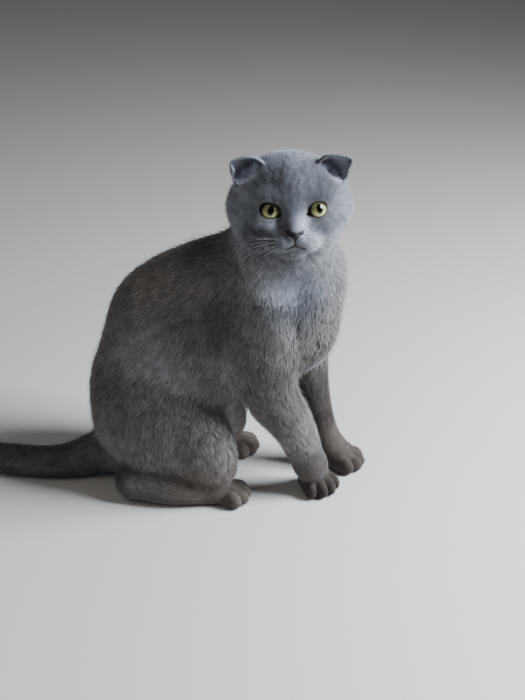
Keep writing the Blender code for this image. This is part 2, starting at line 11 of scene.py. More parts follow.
import bmesh
import bpy
import numpy as np
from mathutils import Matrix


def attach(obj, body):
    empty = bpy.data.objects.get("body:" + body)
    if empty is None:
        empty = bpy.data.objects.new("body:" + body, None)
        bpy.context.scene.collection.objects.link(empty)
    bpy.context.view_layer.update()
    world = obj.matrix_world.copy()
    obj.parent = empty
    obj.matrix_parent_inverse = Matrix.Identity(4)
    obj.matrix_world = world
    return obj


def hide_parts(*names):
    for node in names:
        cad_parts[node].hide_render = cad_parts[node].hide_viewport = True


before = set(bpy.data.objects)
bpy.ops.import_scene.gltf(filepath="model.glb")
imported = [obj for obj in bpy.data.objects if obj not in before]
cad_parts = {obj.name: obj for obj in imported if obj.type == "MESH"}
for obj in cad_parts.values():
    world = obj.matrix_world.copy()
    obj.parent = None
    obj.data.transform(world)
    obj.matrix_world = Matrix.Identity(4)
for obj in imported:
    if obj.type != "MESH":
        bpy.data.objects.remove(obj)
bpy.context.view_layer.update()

import openvdb
from mathutils import Matrix, Vector
from mathutils.kdtree import KDTree

CM = 0.01
ORIGIN = np.array([-0.745936, 11.814556, 0])  # the world's, in centimetres in the body frame
FAR = 1.0  # what an empty cell of a field holds
SKIN_CELL = 0.0017  # metres, of the field round the body
FACE_CELL = 0.0008  # metres, of the finer field round the head
SKIN_LIFT = 0.0004  # metres, how high the skin stays over the floor
SINK_BAND = 0.012  # metres, how far from its surface a field is sunk

# The head's place and bearing, in centimetres and degrees
HEAD_CENTRE = (-3.7, -6.8, 31.8)  # behind the eyes, on the eye line
HEAD_YAW = 70.5  # from -Y towards the cat's right
HEAD_PITCH = 11.0  # above the horizon
CHEST_YAW = 26.0  # how far the forequarters turn to the right

# Eyes, in centimetres in the head's frame (left, up, forward)
EYE_SIDE = 1.98  # from the midline to an eye's centre
EYE_DEPTH = 2.5  # an eye's centre, forward of the head's
EYE_RADIUS = 1.02
EYE_OPENING = (0.88, 0.63)  # half width and half height of the cut between the lids
EYE_OUTWARD = 9.0  # degrees that an eye looks away from the nose
EYE_TIP = 12.0  # degrees that its outer corner is raised
LID = 0.16  # thickness of the lids over the eyeball
# Toes, in centimetres and degrees: how far each is to the left and ahead, and how far it splays
TOES = ((-1.32, 0.95, -14), (-0.47, 1.5, -4), (0.47, 1.5, 4), (1.32, 0.95, 14))

# The mouth and a nostril on the left side, in centimetres in the head's frame
LIPS = ((0, -2.88, 4.2), (0.25, -3.04, 4.17), (0.5, -3.15, 4.06), (0.8, -3.18, 3.88), (1.1, -3.12, 3.65))
GROOVE = ((0, -2.2, 4.56), (0, -2.5, 4.4), LIPS[0])  # the dark line from the nose to the lips
NOSTRIL = ((0.3, -1.98, 4.56), (0.48, -1.92, 4.42), (0.7, -1.98, 4.26), (0.88, -2.12, 3.95))
# A folded ear, as lines from its inner end to its outer one: where it leaves the skull, the edge of
# the fold, and how far it bulges between the two
EAR_THICKNESS = 0.16
EAR_ROOT = ((2.5, 4, 1.6), (2.9, 4.15, 0.3), (3.7, 3.8, -0.6))
EAR_ROOT += ((4.6, 2.9, -0.5), (4.8, 2.1, 0.2), (4.5, 1.9, 0.8))
EAR_RIM = ((2.4, 3.95, 1.7), (3.2, 4.45, 1.9), (4.2, 4.5, 2))
EAR_RIM += ((5.25, 4.1, 1.8), (4.95, 3.1, 1.4), (4.65, 2.2, 1))
EAR_BULGE = ((0, 0.1, 0), (0, 0.2, -0.2), (0.1, 0.25, -0.4))
EAR_BULGE += ((0.3, 0.25, -0.4), (0.35, 0.1, -0.3), (0.1, 0, 0))
EAR_IN_SKULL = 0.35  # how deep its root goes on into the skull

# The neck plane, where the finely sculpted head meets the body: a point on it and its normal
NECK_POINT = (-2.6, -5.9, 27.7)
NECK_NORMAL = np.array((-0.15, -0.4, 0.9)) / math.sqrt(0.9925)
NECK_GAP = 0.0006  # metres, from the plane to the edge of either part, which a band joins

NOSE = (0.0, -1.5, 4.3)  # the hair of the face lies away from here
COVER = 1.56  # how many tufts lie over each point of the skin
TUFTS_IN_PIECE = 30000
PATCH = 0.0015  # half the size of a tuft's patch of the OFBake map
ROOT_DEPTH = 0.0003  # metres, of a tuft's root in the skin
COAT_LIFT = 0.0002  # metres, how high the tufts stay over the floor
GUARD_SHARE = 0.14  # how many tufts are guard hairs, thinner, longer and more upright
TUFT_TONES = np.array((0.62, 0.9, 0.9, 0.95, 1.22))  # how light a tuft is, from its root to its tip
# Small and large locks: one to so many tufts, how far in metres and how strongly a lock draws its
# tufts to it, and how much lighter or darker than others it may be
LOCKS = ((13, 0.003, 0.35, 0.18), (70, 0.006, 0.65, 0.14))

draw = np.random.default_rng(7)


def at(x, y, z):
    """A point of the body frame, in metres in the world."""
    return (np.array([x, y, z], float) - ORIGIN) * CM


def held(values):
    """Values kept between 0 and 1."""
    return np.clip(values, 0.0, 1.0)


def lengths(vectors):
    return np.linalg.norm(vectors, axis=-1)


def unit(vectors):
    return vectors / np.maximum(lengths(vectors)[..., None], 1e-9)


def turn_axes(pitch=0.0, yaw=0.0, roll=0.0):
    """Rows are a mass's axes (left, back, up) once it is rolled, pitched and yawed, in degrees."""
    turned = (
        Matrix.Rotation(math.radians(-yaw), 3, "Z")
        @ Matrix.Rotation(math.radians(pitch), 3, "X")
        @ Matrix.Rotation(math.radians(roll), 3, "Y")
    )
    return np.array(turned.transposed())


def head_axes():
    """Rows are the head's left, up and forward axes."""
    yaw = math.radians(HEAD_YAW)
    pitch = math.radians(HEAD_PITCH)
    level = np.array([-math.sin(yaw), -math.cos(yaw), 0.0])
    forward = level * math.cos(pitch) + np.array([0.0, 0.0, math.sin(pitch)])
    left = np.cross([0.0, 0.0, 1.0], level)
    return np.array([left, np.cross(forward, left), forward])


HEAD_AXES = head_axes()


def in_head(left, up, forward):
    """A point of the head's frame, in metres in the world."""
    return at(*HEAD_CENTRE) + np.array([left, up, forward]) @ HEAD_AXES * CM


class Ball:
    """An ellipsoid with half lengths along its own axes, in centimetres."""

    def __init__(self, centre, half, axes=None):
        self.centre = np.asarray(centre, float)
        self.half = np.asarray(half, float) * CM
        self.axes = np.eye(3) if axes is None else np.asarray(axes)

    def box(self):
        reach = np.abs(self.axes * self.half[:, None]).sum(axis=0)
        return self.centre - reach, self.centre + reach

    def distance(self, points):
        local = (points - self.centre) @ self.axes.T
        near = lengths(local / self.half)
        steep = lengths(local / self.half**2)
        return near * (near - 1.0) / np.maximum(steep, 1e-6)


class Tube:
    """A round tube of changing radius, in centimetres, along a curve through points."""

    def __init__(self, points, radii, steps=6):
        self.points = smooth_through(np.asarray(points, float), steps)
        self.radii = smooth_through(np.asarray(radii, float)[:, None] * CM, steps)[:, 0]

    def box(self):
        reach = self.radii.max()
        return self.points.min(axis=0) - reach, self.points.max(axis=0) + reach

    def distance(self, points):
        nearest = np.full(points.shape[:-1], FAR)
        ends = zip(self.points[:-1], self.points[1:], self.radii[:-1], self.radii[1:])
        for start, end, first, last in ends:
            along = end - start
            share = held((points - start) @ along / (along @ along))
            offset = points - start - share[..., None] * along
            nearest = np.minimum(nearest, lengths(offset) - (first + share * (last - first)))
        return nearest


class Melt:
    """Several shapes melted into one with a blend, in centimetres."""

    def __init__(self, shapes, blend):
        self.shapes = shapes
        self.blend = blend

    def box(self):
        boxes = [shape.box() for shape in self.shapes]
        return np.min([b[0] for b in boxes], axis=0), np.max([b[1] for b in boxes], axis=0)

    def distance(self, points):
        field = self.shapes[0].distance(points)
        for shape in self.shapes[1:]:
            field = melt(field, shape.distance(points), self.blend * CM)
        return field


def smooth_through(points, steps):
    """Points along a Catmull-Rom curve through the given ones."""
    padded = np.vstack([2 * points[0] - points[1], points, 2 * points[-1] - points[-2]])
    found = []
    for before, start, end, after in zip(padded, padded[1:], padded[2:], padded[3:]):
        for t in np.arange(steps) / steps:
            rise = (end - before) * t
            bend = (2 * before - 5 * start + 4 * end - after) * t**2
            twist = (3 * start - before - 3 * end + after) * t**3
            found.append(0.5 * (2 * start + rise + bend + twist))
    found.append(points[-1])
    return np.array(found)


def melt(a, b, blend):
    """The smooth union of two distance fields."""
    if blend <= 0:
        return np.minimum(a, b)
    share = held(0.5 + 0.5 * (b - a) / blend)
    return b + (a - b) * share - blend * share * (1 - share)


class Clay:
    """A distance field on a grid, in metres, that shapes are melted into and cut from."""

    def __init__(self, low, high, cell):
        self.low = np.asarray(low, float)
        self.cell = cell
        counts = np.ceil((np.asarray(high) - self.low) / cell).astype(int) + 1
        self.field = np.full(counts, FAR)

    def window(self, shape, blend):
        """The cells near a shape: their slices and their points."""
        low, high = shape.box()
        margin = blend * CM + 4 * self.cell
        first = np.floor((low - margin - self.low) / self.cell).astype(int)
        last = np.ceil((high + margin - self.low) / self.cell).astype(int) + 1
        first, last = np.clip((first, last), 0, self.field.shape)
        slices = tuple(slice(a, b) for a, b in zip(first, last))
        axes = [self.low[i] + self.cell * np.arange(first[i], last[i]) for i in range(3)]
        return slices, np.stack(np.meshgrid(*axes, indexing="ij"), axis=-1)

    def add(self, shape, blend, sign=1):
        slices, points = self.window(shape, blend)
        if points.size:
            self.field[slices] = sign * melt(sign * self.field[slices], shape.distance(points), blend * CM)

    def cut(self, shape, blend):
        self.add(shape, blend, sign=-1)

    def mesh(self, name):
        """A mesh of the field's zero surface."""
        grid = openvdb.FloatGrid(FAR)
        grid.copyFromArray(self.field.astype(np.float32))
        points, quads = grid.convertToQuads(isovalue=0.0)
        points = points * self.cell + self.low
        mesh = bpy.data.meshes.new(name)
        mesh.from_pydata(points.tolist(), [], quads.tolist())
        mesh.validate()
        return mesh


# The masses of the body. Each is a shape and the blend, in centimetres, that it melts in with.


def torso_masses():
    yield Ball(at(-0.6, 8.8, 7.4), (5.9, 5.7, 8.8)), 0  # pelvis
    yield Ball(at(-0.6, 5, 14.2), (6.1, 10.6, 7.4), turn_axes(pitch=-52)), 3  # barrel
    yield Ball(at(-0.6, 5.6, 17.9), (5.3, 6.3, 6.2)), 3  # loin
    yield Ball(at(-0.8, -1.8, 19.2), (5.4, 7.6, 6.2), turn_axes(pitch=-55, yaw=20)), 3  # rib cage
    breast_axes = turn_axes(pitch=-8, yaw=CHEST_YAW)
    yield Ball(at(-0.6, -6.6, 20.6), (4.6, 4.6, 6.4), breast_axes), 2.5
    yield Ball(at(-0.6, 2.6, 22.6), (3.6, 5, 3.6), turn_axes(pitch=-25)), 2.5  # withers


def neck_masses():
    spine = [at(-0.8, -1, 21.4), at(-1.4, -4, 25.4), at(-2.8, -6, 29.4)]
    yield Tube(spine, [5, 4.6, 4.3]), 2.5
    yield Ball(at(-1.4, -7.3, 24.2), (4.8, 4.3, 4.6), turn_axes(yaw=CHEST_YAW)), 2  # ruff
    yield Ball(at(-3.8, -7.4, 26), (3.4, 3.2, 3.4)), 1.6  # throat


def hind_leg_masses(side):
    """One hind leg. side is 1 on the left and -1 on the right."""
    if side > 0:
        thigh, shank = at(3.4, 6.9, 8), at(4.3, 3, 6.4)
        sole = [at(5, 9.6, 1.95), at(5.3, 6.1, 1.8), at(5.3, 2.2, 1.5)]
        toes, heading = at(5.3, 1.1, 0), 3
    else:
        thigh, shank = at(-4.6, 5.9, 8), at(-5.2, 1.3, 6.4)
        sole = [at(-6, 8.6, 1.95), at(-5.9, 4.4, 1.8), at(-4.9, 0.6, 1.5)]
        toes, heading = at(-4.4, -0.6, 0), -2
    yield Ball(thigh, (3.4, 7.3, 5.8), turn_axes(pitch=20, yaw=side * 5)), 1
    yield Ball(shank, (2.3, 3.3, 4.9), turn_axes(pitch=-14, yaw=side * 5)), 0.9
    yield Tube(sole, [2, 1.85, 1.5]), 1.1
    yield paw(toes, heading=heading, size=0.95), 0.4


def foreleg_masses(side):
    """One foreleg, from the shoulder down."""
    if side > 0:
        joints = [at(2.6, -6.6, 17.6), at(3.3, -7, 12.4), at(4.3, -7.8, 7.6), at(4.9, -9, 3.2)]
        radii = [2.9, 2.25, 1.7, 1.4]
        toes, heading = at(5.15, -10.4, 0), 8
    else:
        yield Ball(at(-4.6, -4.2, 18.6), (2.3, 3.5, 5.2), turn_axes(pitch=14, yaw=20)), 1.1
        joints = [at(-4.1, -4.6, 16.6), at(-3.2, -4.9, 12.5), at(-2.1, -7.1, 8.1), at(-0.9, -8.5, 3.6)]
        radii = [3.2, 2.85, 2.15, 1.6]
        toes, heading = at(0.14, -8.8, 0), 40
    yield Tube(joints, radii), 1.4
    yield Tube([joints[-1], toes + np.array([0, 0, 1.6 * CM])], [radii[-1], 1.5], steps=3), 0.8
    yield paw(toes, heading=heading, size=1), 0.4


def paw(place, heading, size):
    """A paw on the floor, pointing so many degrees to the cat's right of -Y."""
    axes = turn_axes(yaw=heading)
    left, back, up = axes
    toes = []
    for across, ahead, splay in TOES:
        centre = place + (left * across - back * ahead + up * 0.95) * size * CM
        toes.append(Ball(centre, np.array((0.62, 1.15, 1.05)) * size, turn_axes(yaw=heading - splay)))
    palm = Ball(place + up * 1.15 * size * CM, np.array((1.7, 1.8, 1.4)) * size, axes)
    return Melt([Melt(toes, 0.08), palm], 0.4)


def tail_masses():
    line = [at(-0.9, 9.6, 4.6), at(-2.4, 13.2, 2.8), at(-4.1, 17.3, 1.75), at(-4.9, 22, 1.6)]
    line += [at(-4.7, 27, 1.5), at(-3.6, 31.8, 1.4), at(-1.9, 35.6, 1.15)]
    yield Tube(line, [3.1, 2.4, 1.8, 1.7, 1.6, 1.5, 1.1], steps=8), 1.6


# The head. Its points are (side, up, forward) in centimetres in the head's frame.


def skull_masses():
    yield head_ball(0, 0.75, -0.9, 4.8, 4.1, 4.4), 1.5  # cranium
    yield head_ball(0, 1.4, 0.7, 3.8, 2.9, 2.7), 1  # forehead
    for side in (-1, 1):
        yield head_ball(side * 2.85, -0.1, -0.3, 2.85, 2.9, 3.1), 1.2  # cheek
        yield head_ball(side * 1.75, -2.2, 0.9, 2.2, 2, 2.3), 1.2  # jowl
        yield head_ball(side * 1.9, 1.25, 2.2, 1.8, 0.8, 1.2), 0.8  # brow
        yield head_ball(side * 2, -1.5, 2.1, 1.7, 1, 1.25), 0.9  # cheekbone
    bridge = [(0, 1.8, 2.3), (0, 0.1, 2.6), (0, -1.1, 3.2), (0, -1.75, 3.8)]
    yield Tube([in_head(*point) for point in bridge], [1.5, 1.3, 0.95, 0.72]), 0.9


def muzzle_masses():
    for side in (-1, 1):
        yield head_ball(side * 0.95, -2.7, 3, 1.4, 1, 1.35), 0.7  # whisker pad
        yield head_ball(side * 0.5, -1.95, 4.05, 0.38, 0.3, 0.42), 0.2  # wing of the nose
    yield head_ball(0, -1.95, 4.15, 0.55, 0.42, 0.5), 0.2  # tip of the nose
    yield head_ball(0, -3.75, 2.7, 0.95, 0.55, 1), 0.6  # chin


def head_ball(side, up, forward, half_side, half_up, half_forward):
    return Ball(in_head(side, up, forward), (half_side, half_up, half_forward), HEAD_AXES)


def face_cuts():
    """What is cut into the face, with the blend of each."""
    groove = [in_head(0, -2.3, 4.56), in_head(0, -2.75, 4.32), in_head(0, -3.3, 4.14)]
    yield Tube(groove, [0.06, 0.1, 0.12]), 0.12
    for side in (-1, 1):
        yield Tube(on_side(side, LIPS), [0.12, 0.13, 0.13, 0.11, 0.07]), 0.14
        yield Tube(on_side(side, NOSTRIL), [0.1, 0.12, 0.08, 0.05]), 0.06


def on_side(side, line):
    """A line of the head's frame, in the world, as it is (1) or mirrored (-1)."""
    return np.array([in_head(side * across, up, forward) for across, up, forward in line])


def eye_axes(side):
    """Rows are an eye's axes. It looks a little outwards and its outer corner is raised."""
    outward = Matrix.Rotation(math.radians(side * EYE_OUTWARD), 3, "Y")
    tip = Matrix.Rotation(math.radians(side * EYE_TIP), 3, "Z")
    return np.array((outward @ tip).transposed()) @ HEAD_AXES


def eye_centre(side):
    return in_head(side * EYE_SIDE, 0, EYE_DEPTH)


class Leaf:
    """A thin shell through a fine grid of points, its radius in centimetres."""

    def __init__(self, points, radius):
        self.points = points.reshape(-1, 3)
        self.radius = radius * CM

    def box(self):
        return self.points.min(axis=0) - self.radius, self.points.max(axis=0) + self.radius

    def distance(self, points):
        tree = tree_of(self.points)
        reach = [tree.find(point)[2] for point in points.reshape(-1, 3)]
        return np.array(reach).reshape(points.shape[:-1]) - self.radius


def tree_of(points):
    """Points sorted in space, to find the nearest of them."""
    tree = KDTree(len(points))
    for index, point in enumerate(points):
        tree.insert(point, index)
    tree.balance()
    return tree


def sunk(points, depth):
    """Points moved to lie so many centimetres inside the skull."""
    step = 0.1 * CM
    for _ in range(4):
        level = skull_field(points)
        rises = []
        for shift in np.eye(3) * step:
            rises.append(skull_field(points + shift) - skull_field(points - shift))
        points = points - unit(np.stack(rises, axis=-1)) * (level + depth * CM)[:, None]
    return points


def skull_field(points):
    field = np.full(points.shape[:-1], FAR)
    for shape, blend in skull_masses():
        field = melt(field, shape.distance(points), blend * CM)
    return field


def ear_leaf(side):
    """A folded ear. It rises from a horseshoe on the skull and leans forward like a visor."""
    root, rim, bulge = [smooth_through(np.array(line), 14) for line in (EAR_ROOT, EAR_RIM, EAR_BULGE)]
    grid = []
    for share in np.linspace(0.0, 1.0, 40):
        line = root * (1 - share) + rim * share + bulge * 2.4 * share * (1 - share)
        grid.append(on_side(side, line))
    in_skull = sunk(grid[0], EAR_IN_SKULL)
    grid = list(np.linspace(in_skull, grid[0], 8)[:-1]) + grid
    return Leaf(np.array(grid), EAR_THICKNESS / 2)


def ear_hollow(side):
    return head_ball(side * 3.95, 3.0, 0.9, 0.95, 0.8, 0.9)


def all_masses():
    yield from torso_masses()
    yield from neck_masses()
    for side in (-1, 1):
        yield from hind_leg_masses(side)
        yield from foreleg_masses(side)
    yield from tail_masses()
    yield from skull_masses()
    yield from muzzle_masses()
    for side in (-1, 1):
        yield Ball(eye_centre(side), [EYE_RADIUS + LID] * 3), 0.35  # lids


# The coat. Each row is a place, the way the hair lies there, the depth of the coat, the length of its
# hair, how light it is, how much it gathers into locks, and how far the row reaches.

BODY_COAT = (
    ((-1.5, -1.5, 29.5), (0.2, 0.7, -0.7), 0.4, 0.85, 0.75, 0.1, 2.6),  # nape
    ((-1.2, 2.2, 27), (0.1, 0.6, -0.8), 0.42, 0.9, 0.48, 0.1, 2.2),
    ((-0.6, 5.5, 24), (0, 0.55, -0.83), 0.42, 0.9, 1.35, 0.08, 3.4),  # withers
    ((-0.6, 11.5, 17), (0, 0.4, -0.92), 0.42, 0.95, 0.95, 0.08, 4),  # back
    ((-0.6, 15, 9), (0, 0.35, -0.93), 0.42, 0.95, 0.85, 0.08, 4),  # rump
    ((-8, 3.2, 18.5), (0, 0.45, -0.9), 0.4, 0.9, 0.75, 0.1, 2.5),  # flanks
    # Painted highlight on the right flank: the coat here is made lighter
    ((-8.2, 6, 17), (0, 0.45, -0.9), 0.4, 0.9, 1.4, 0.25, 2.4),
    ((6.3, 5, 16), (0, 0.5, -0.86), 0.4, 0.9, 0.9, 0.1, 4),
    # Painted shade behind the shoulder: the coat here is made much darker
    ((-7.2, -1.6, 20), (0, 0.25, -1), 0.36, 0.8, 0.36, 0.2, 1.7),  # behind the shoulder
    ((-7, -4.2, 19.5), (-0.05, 0.15, -1), 0.38, 0.8, 0.95, 0.2, 2.4),  # shoulders
    ((-6, -5.4, 16.2), (-0.05, -0.1, -1), 0.36, 0.8, 0.48, 0.35, 1.7),
    ((5, -4.5, 19), (0.05, 0.15, -1), 0.38, 0.8, 0.85, 0.15, 3.5),
    ((-4.3, -10, 21), (-0.25, 0.05, -1), 0.6, 1.3, 1, 0.55, 2),  # chest, parted in its middle
    ((-1.2, -11.6, 21), (0.25, -0.1, -1), 0.6, 1.3, 0.8, 0.55, 2),
    ((-2.4, -11, 16), (0, 0.05, -1), 0.5, 1.15, 0.5, 0.55, 2.5),
    ((-6.4, -6.2, 26), (-0.2, -0.4, -0.9), 0.48, 1, 4.6, 0.5, 1.45),  # a pale patch under the jaw
    ((-4.6, -9.5, 26.5), (-0.15, -0.1, -1), 0.5, 1.05, 0.95, 0.45, 1.8),  # throat
    ((-2.2, -11, 25.5), (0.15, -0.15, -1), 0.5, 1.05, 0.95, 0.45, 2.2),
    ((-6.6, -4.4, 27), (0, 0.25, -0.95), 0.42, 0.9, 0.95, 0.2, 2),  # sides of the neck
    ((2.6, -5.5, 26), (0, 0.25, -0.95), 0.42, 0.9, 0.9, 0.2, 2.5),
    ((-0.6, -3.5, 12), (0, 0.1, -1), 0.45, 0.95, 0.8, 0.3, 3),  # belly
    ((-8.2, 6, 8), (0, 0.25, -0.96), 0.38, 0.85, 0.78, 0.3, 3.5),  # thighs
    ((7, 6.5, 8), (0, 0.25, -0.96), 0.38, 0.85, 0.78, 0.3, 3.5),
    ((-6.8, -1.5, 8), (0, -0.1, -1), 0.3, 0.75, 0.88, 0.45, 2.5),  # knees
    ((5.6, 0.2, 8), (0, -0.1, -1), 0.3, 0.75, 0.8, 0.45, 2.5),
    ((-6.2, 6, 1.8), (0, -1, -0.15), 0.16, 0.45, 0.72, 0.2, 3),  # hind feet
    ((5, 7, 1.8), (0, -1, -0.15), 0.16, 0.45, 0.7, 0.2, 3),
    ((-4.6, -1.6, 1.4), (0, -1, -0.2), 0.09, 0.3, 0.48, 0.1, 2),  # hind toes
    ((5.3, 0, 1.4), (0, -1, -0.2), 0.09, 0.3, 1.1, 0.1, 2.4),
    ((-3.8, -5.6, 12), (-0.1, -0.55, -0.8), 0.3, 0.8, 0.48, 0.45, 2),  # elbow and upper forearm
    ((-2, -8.2, 8.8), (0, -0.35, -1), 0.22, 0.58, 0.88, 0.4, 1.8),  # forearms
    ((4, -8, 9), (0, -0.25, -1), 0.2, 0.52, 0.26, 0.3, 2.8),
    ((-1, -9, 3.8), (0, -0.3, -1), 0.13, 0.36, 0.5, 0.2, 1.8),  # wrists
    ((4.9, -9.6, 3.6), (0, -0.4, -1), 0.13, 0.36, 0.46, 0.2, 1.8),
    ((-0.5, -10, 1.2), (-0.64, -0.77, -0.25), 0.09, 0.28, 0.3, 0.1, 1.9),  # forepaws
    ((5, -11.6, 1.2), (-0.14, -0.99, -0.2), 0.09, 0.28, 0.4, 0.1, 1.9),
    ((-1.2, 11.2, 4.2), (-0.3, 1, -0.5), 0.4, 0.9, 0.65, 0.15, 2.5),  # tail
    ((-3.2, 15.3, 2.2), (-0.4, 1, -0.25), 0.36, 0.85, 0.58, 0.15, 2.5),
    ((-4.8, 20.5, 1.7), (-0.1, 1, 0), 0.34, 0.85, 0.58, 0.15, 3),
    ((-4.8, 26.5, 1.6), (0.1, 1, 0), 0.34, 0.85, 0.58, 0.15, 3),
    ((-3.6, 31.5, 1.5), (0.3, 1, 0), 0.34, 0.85, 0.56, 0.15, 2.5),
    ((-2.1, 35.3, 1.2), (0.45, 1, 0), 0.28, 0.8, 0.54, 0.15, 2),
)

# The same for the head, in its own frame. Its hair lies away from the nose and the eyes.
HEAD_COAT = (
    ((0, -2.3, 4.6), 0.03, 0.16, 0.85, 0, 1),  # nose and lips
    # The left whisker pad, towards the lamp, is lighter than the right: partly paler fur, partly painted
    # highlight
    ((1.5, -2.5, 4), 0.07, 0.28, 2, 0.1, 1),  # whisker pads
    ((-1.4, -2.5, 4), 0.07, 0.28, 0.8, 0.1, 1.1),
    ((0, -3.9, 3.4), 0.11, 0.32, 0.85, 0.1, 1.2),  # chin
    ((2, 1.2, 3.5), 0.05, 0.24, 0.3, 0, 1.2),  # over the eyes
    ((-2, 1, 3.6), 0.05, 0.24, 0.85, 0, 1.1),
    ((2.4, 2.6, 2.8), 0.14, 0.4, 0.3, 0.1, 1.3),
    ((2.6, -1.2, 3.3), 0.06, 0.26, 0.16, 0.1, 0.9),  # under the eyes
    ((-2.1, -1, 3.6), 0.06, 0.26, 3, 0.1, 0.42),
    ((-2.9, -0.85, 3.2), 0.06, 0.28, 2.6, 0.1, 0.42),
    ((0, 0.3, 4), 0.08, 0.24, 0.72, 0, 0.9),  # bridge of the nose
    # The left side of the bridge is lighter than the right: partly paler fur, partly painted highlight
    ((0.75, -0.9, 4), 0.07, 0.22, 1.7, 0, 0.7),  # sides of the bridge
    ((-0.75, -0.9, 4), 0.07, 0.22, 0.7, 0, 0.7),
    ((0, 2.8, 3.2), 0.18, 0.46, 0.6, 0.1, 1.6),  # forehead
    ((0, 4.8, -0.5), 0.28, 0.62, 1.2, 0.1, 2.6),  # crown
    ((5, -0.4, 0.6), 0.28, 0.64, 0.86, 0.15, 2.4),  # cheeks
    ((-5.2, -0.2, 0.2), 0.28, 0.64, 1.55, 0.15, 2.2),
    ((3, -2.4, 2.4), 0.2, 0.48, 0.8, 0.15, 1.8),  # jowls
    # Painted shade under the jaw: the right jowl is made darker
    ((-3.4, -2.6, 2.2), 0.2, 0.48, 0.42, 0.15, 1.6),
    ((0, 1, -5), 0.36, 0.78, 0.9, 0.1, 3.5),  # back of the head
)


def in_body_frame(points):
    """Points of the world in centimetres in the body frame."""
    return points / CM + ORIGIN


def in_head_frame(points):
    """Points of the world in centimetres in the head's frame (left, up, forward)."""
    return (points - at(*HEAD_CENTRE)) @ HEAD_AXES.T / CM


def share_of_head(points):
    """1 on the head, 0 on the body, and between over 3 cm at the neck plane."""
    above = (points - at(*NECK_POINT)) @ NECK_NORMAL / CM
    return held(0.5 + above / 3)


def mixed(points, rows, values):
    """Each point's average of the rows' values, nearer rows counting for more."""
    total = np.zeros((len(points), values.shape[1]))
    weights = np.zeros((len(points), 1))
    for row, value in zip(rows, values):
        far = np.sum((points - row[0]) ** 2, axis=1, keepdims=True) / row[-1] ** 2
        weight = np.exp(-np.minimum(far, 60)) + 1e-6 / (1 + far)
        total += weight * value
        weights += weight
    return total / weights


def coat_at(points):
    """The coat's depth, length of hair, lightness and gathering at points of the world."""
    body = mixed(in_body_frame(points), BODY_COAT, np.array([row[2:-1] for row in BODY_COAT]))
    head = mixed(in_head_frame(points), HEAD_COAT, np.array([row[1:-1] for row in HEAD_COAT]))
    return blended(body, head, share_of_head(points))


def blended(first, second, share):
    """Rows of two arrays mixed, with each point's own share of the second."""
    return first * (1 - share[:, None]) + second * share[:, None]


def lie_at(points):
    """The way that the hair lies at points of the world."""
    ways = unit(np.array([row[1] for row in BODY_COAT]))
    body = unit(mixed(in_body_frame(points), BODY_COAT, ways))
    local = in_head_frame(points)
    away = unit(local - NOSE)
    for side in (-1, 1):
        from_eye = local - (side * EYE_SIDE, 0.0, EYE_DEPTH)
        near = np.exp(-((lengths(from_eye) / 1.6) ** 2))
        away = away + unit(from_eye) * 2.2 * near[:, None]
    return unit(blended(body, unit(away) @ HEAD_AXES, share_of_head(points)))


def sink(clay, floor):
    """Moves a field's surface in by the coat's depth, and keeps it above the floor."""
    near = np.abs(clay.field) < SINK_BAND
    points = clay.low + np.argwhere(near) * clay.cell
    clay.field[near] += coat_at(points)[:, 0] * CM
    heights = clay.low[2] + clay.cell * np.arange(clay.field.shape[2])
    clay.field = np.maximum(clay.field, floor - heights)


def sculpted(low, high, cell, floor):
    """All the masses in a field between two corners, sunk by the coat's depth."""
    clay = Clay(low, high, cell)
    for shape, blend in all_masses():
        clay.add(shape, blend)
    sink(clay, floor)
    return clay


def sculpt_body_skin():
    return sculpted(at(-11, -16, -0.6), at(10.5, 40, 32), SKIN_CELL, SKIN_LIFT).mesh("body")


def lid_openings(side):
    """The cut between the lids, and the narrow corner that it runs out to beside the nose."""
    centre, axes = eye_centre(side), eye_axes(side)
    yield Ball(centre + (axes[1] * 0.05 + axes[2] * 0.85) * CM, (*EYE_OPENING, 0.95), axes)
    corner = -0.84 * side * axes[0] - 0.16 * axes[1] + 0.75 * axes[2]
    yield Ball(centre + corner * CM, (0.24, 0.13, 0.6), axes)


def sculpt_head_skin():
    centre = at(*HEAD_CENTRE)
    clay = sculpted(centre - 7.6 * CM, centre + 6.6 * CM, FACE_CELL, -1.0)
    for side in (-1, 1):
        clay.add(ear_leaf(side), 0.3)
    for shape, blend in face_cuts():
        clay.cut(shape, blend)
    for side in (-1, 1):
        clay.cut(ear_hollow(side), 0.5)
        for opening in lid_openings(side):
            clay.cut(opening, 0.04)
    return clay.mesh("head")


def put(name, mesh):
    obj = bpy.data.objects.new(name, mesh)
    bpy.context.scene.collection.objects.link(obj)
    return obj


def trimmed(mesh, keep_above, shift):
    """The part of a mesh on one side of the neck plane, as a bmesh."""
    work = bmesh.new()
    work.from_mesh(mesh)
    geometry = work.verts[:] + work.edges[:] + work.faces[:]
    point = Vector(at(*NECK_POINT) + NECK_NORMAL * shift)
    sides = {"clear_inner": keep_above, "clear_outer": not keep_above}
    bmesh.ops.bisect_plane(work, geom=geometry, plane_co=point, plane_no=Vector(NECK_NORMAL), **sides)
    return work


def make_skin():
    """The head and body in one mesh, joined by a narrow band at the neck plane."""
    head = trimmed(sculpt_head_skin(), True, NECK_GAP)
    body = trimmed(sculpt_body_skin(), False, -NECK_GAP)
    upper = bpy.data.meshes.new("upper")
    head.to_mesh(upper)
    body.from_mesh(upper)
    rims = [edge for edge in body.edges if len(edge.link_faces) == 1]
    bmesh.ops.bridge_loops(body, edges=rims)
    loose = [vertex for vertex in body.verts if not vertex.link_faces]
    bmesh.ops.delete(body, geom=loose, context="VERTS")
    bmesh.ops.recalc_face_normals(body, faces=body.faces)
    mesh = bpy.data.meshes.new("skin")
    body.to_mesh(mesh)
    head.free()
    body.free()
    skin = put("skin", mesh)
    mesh.shade_smooth()
    return skin


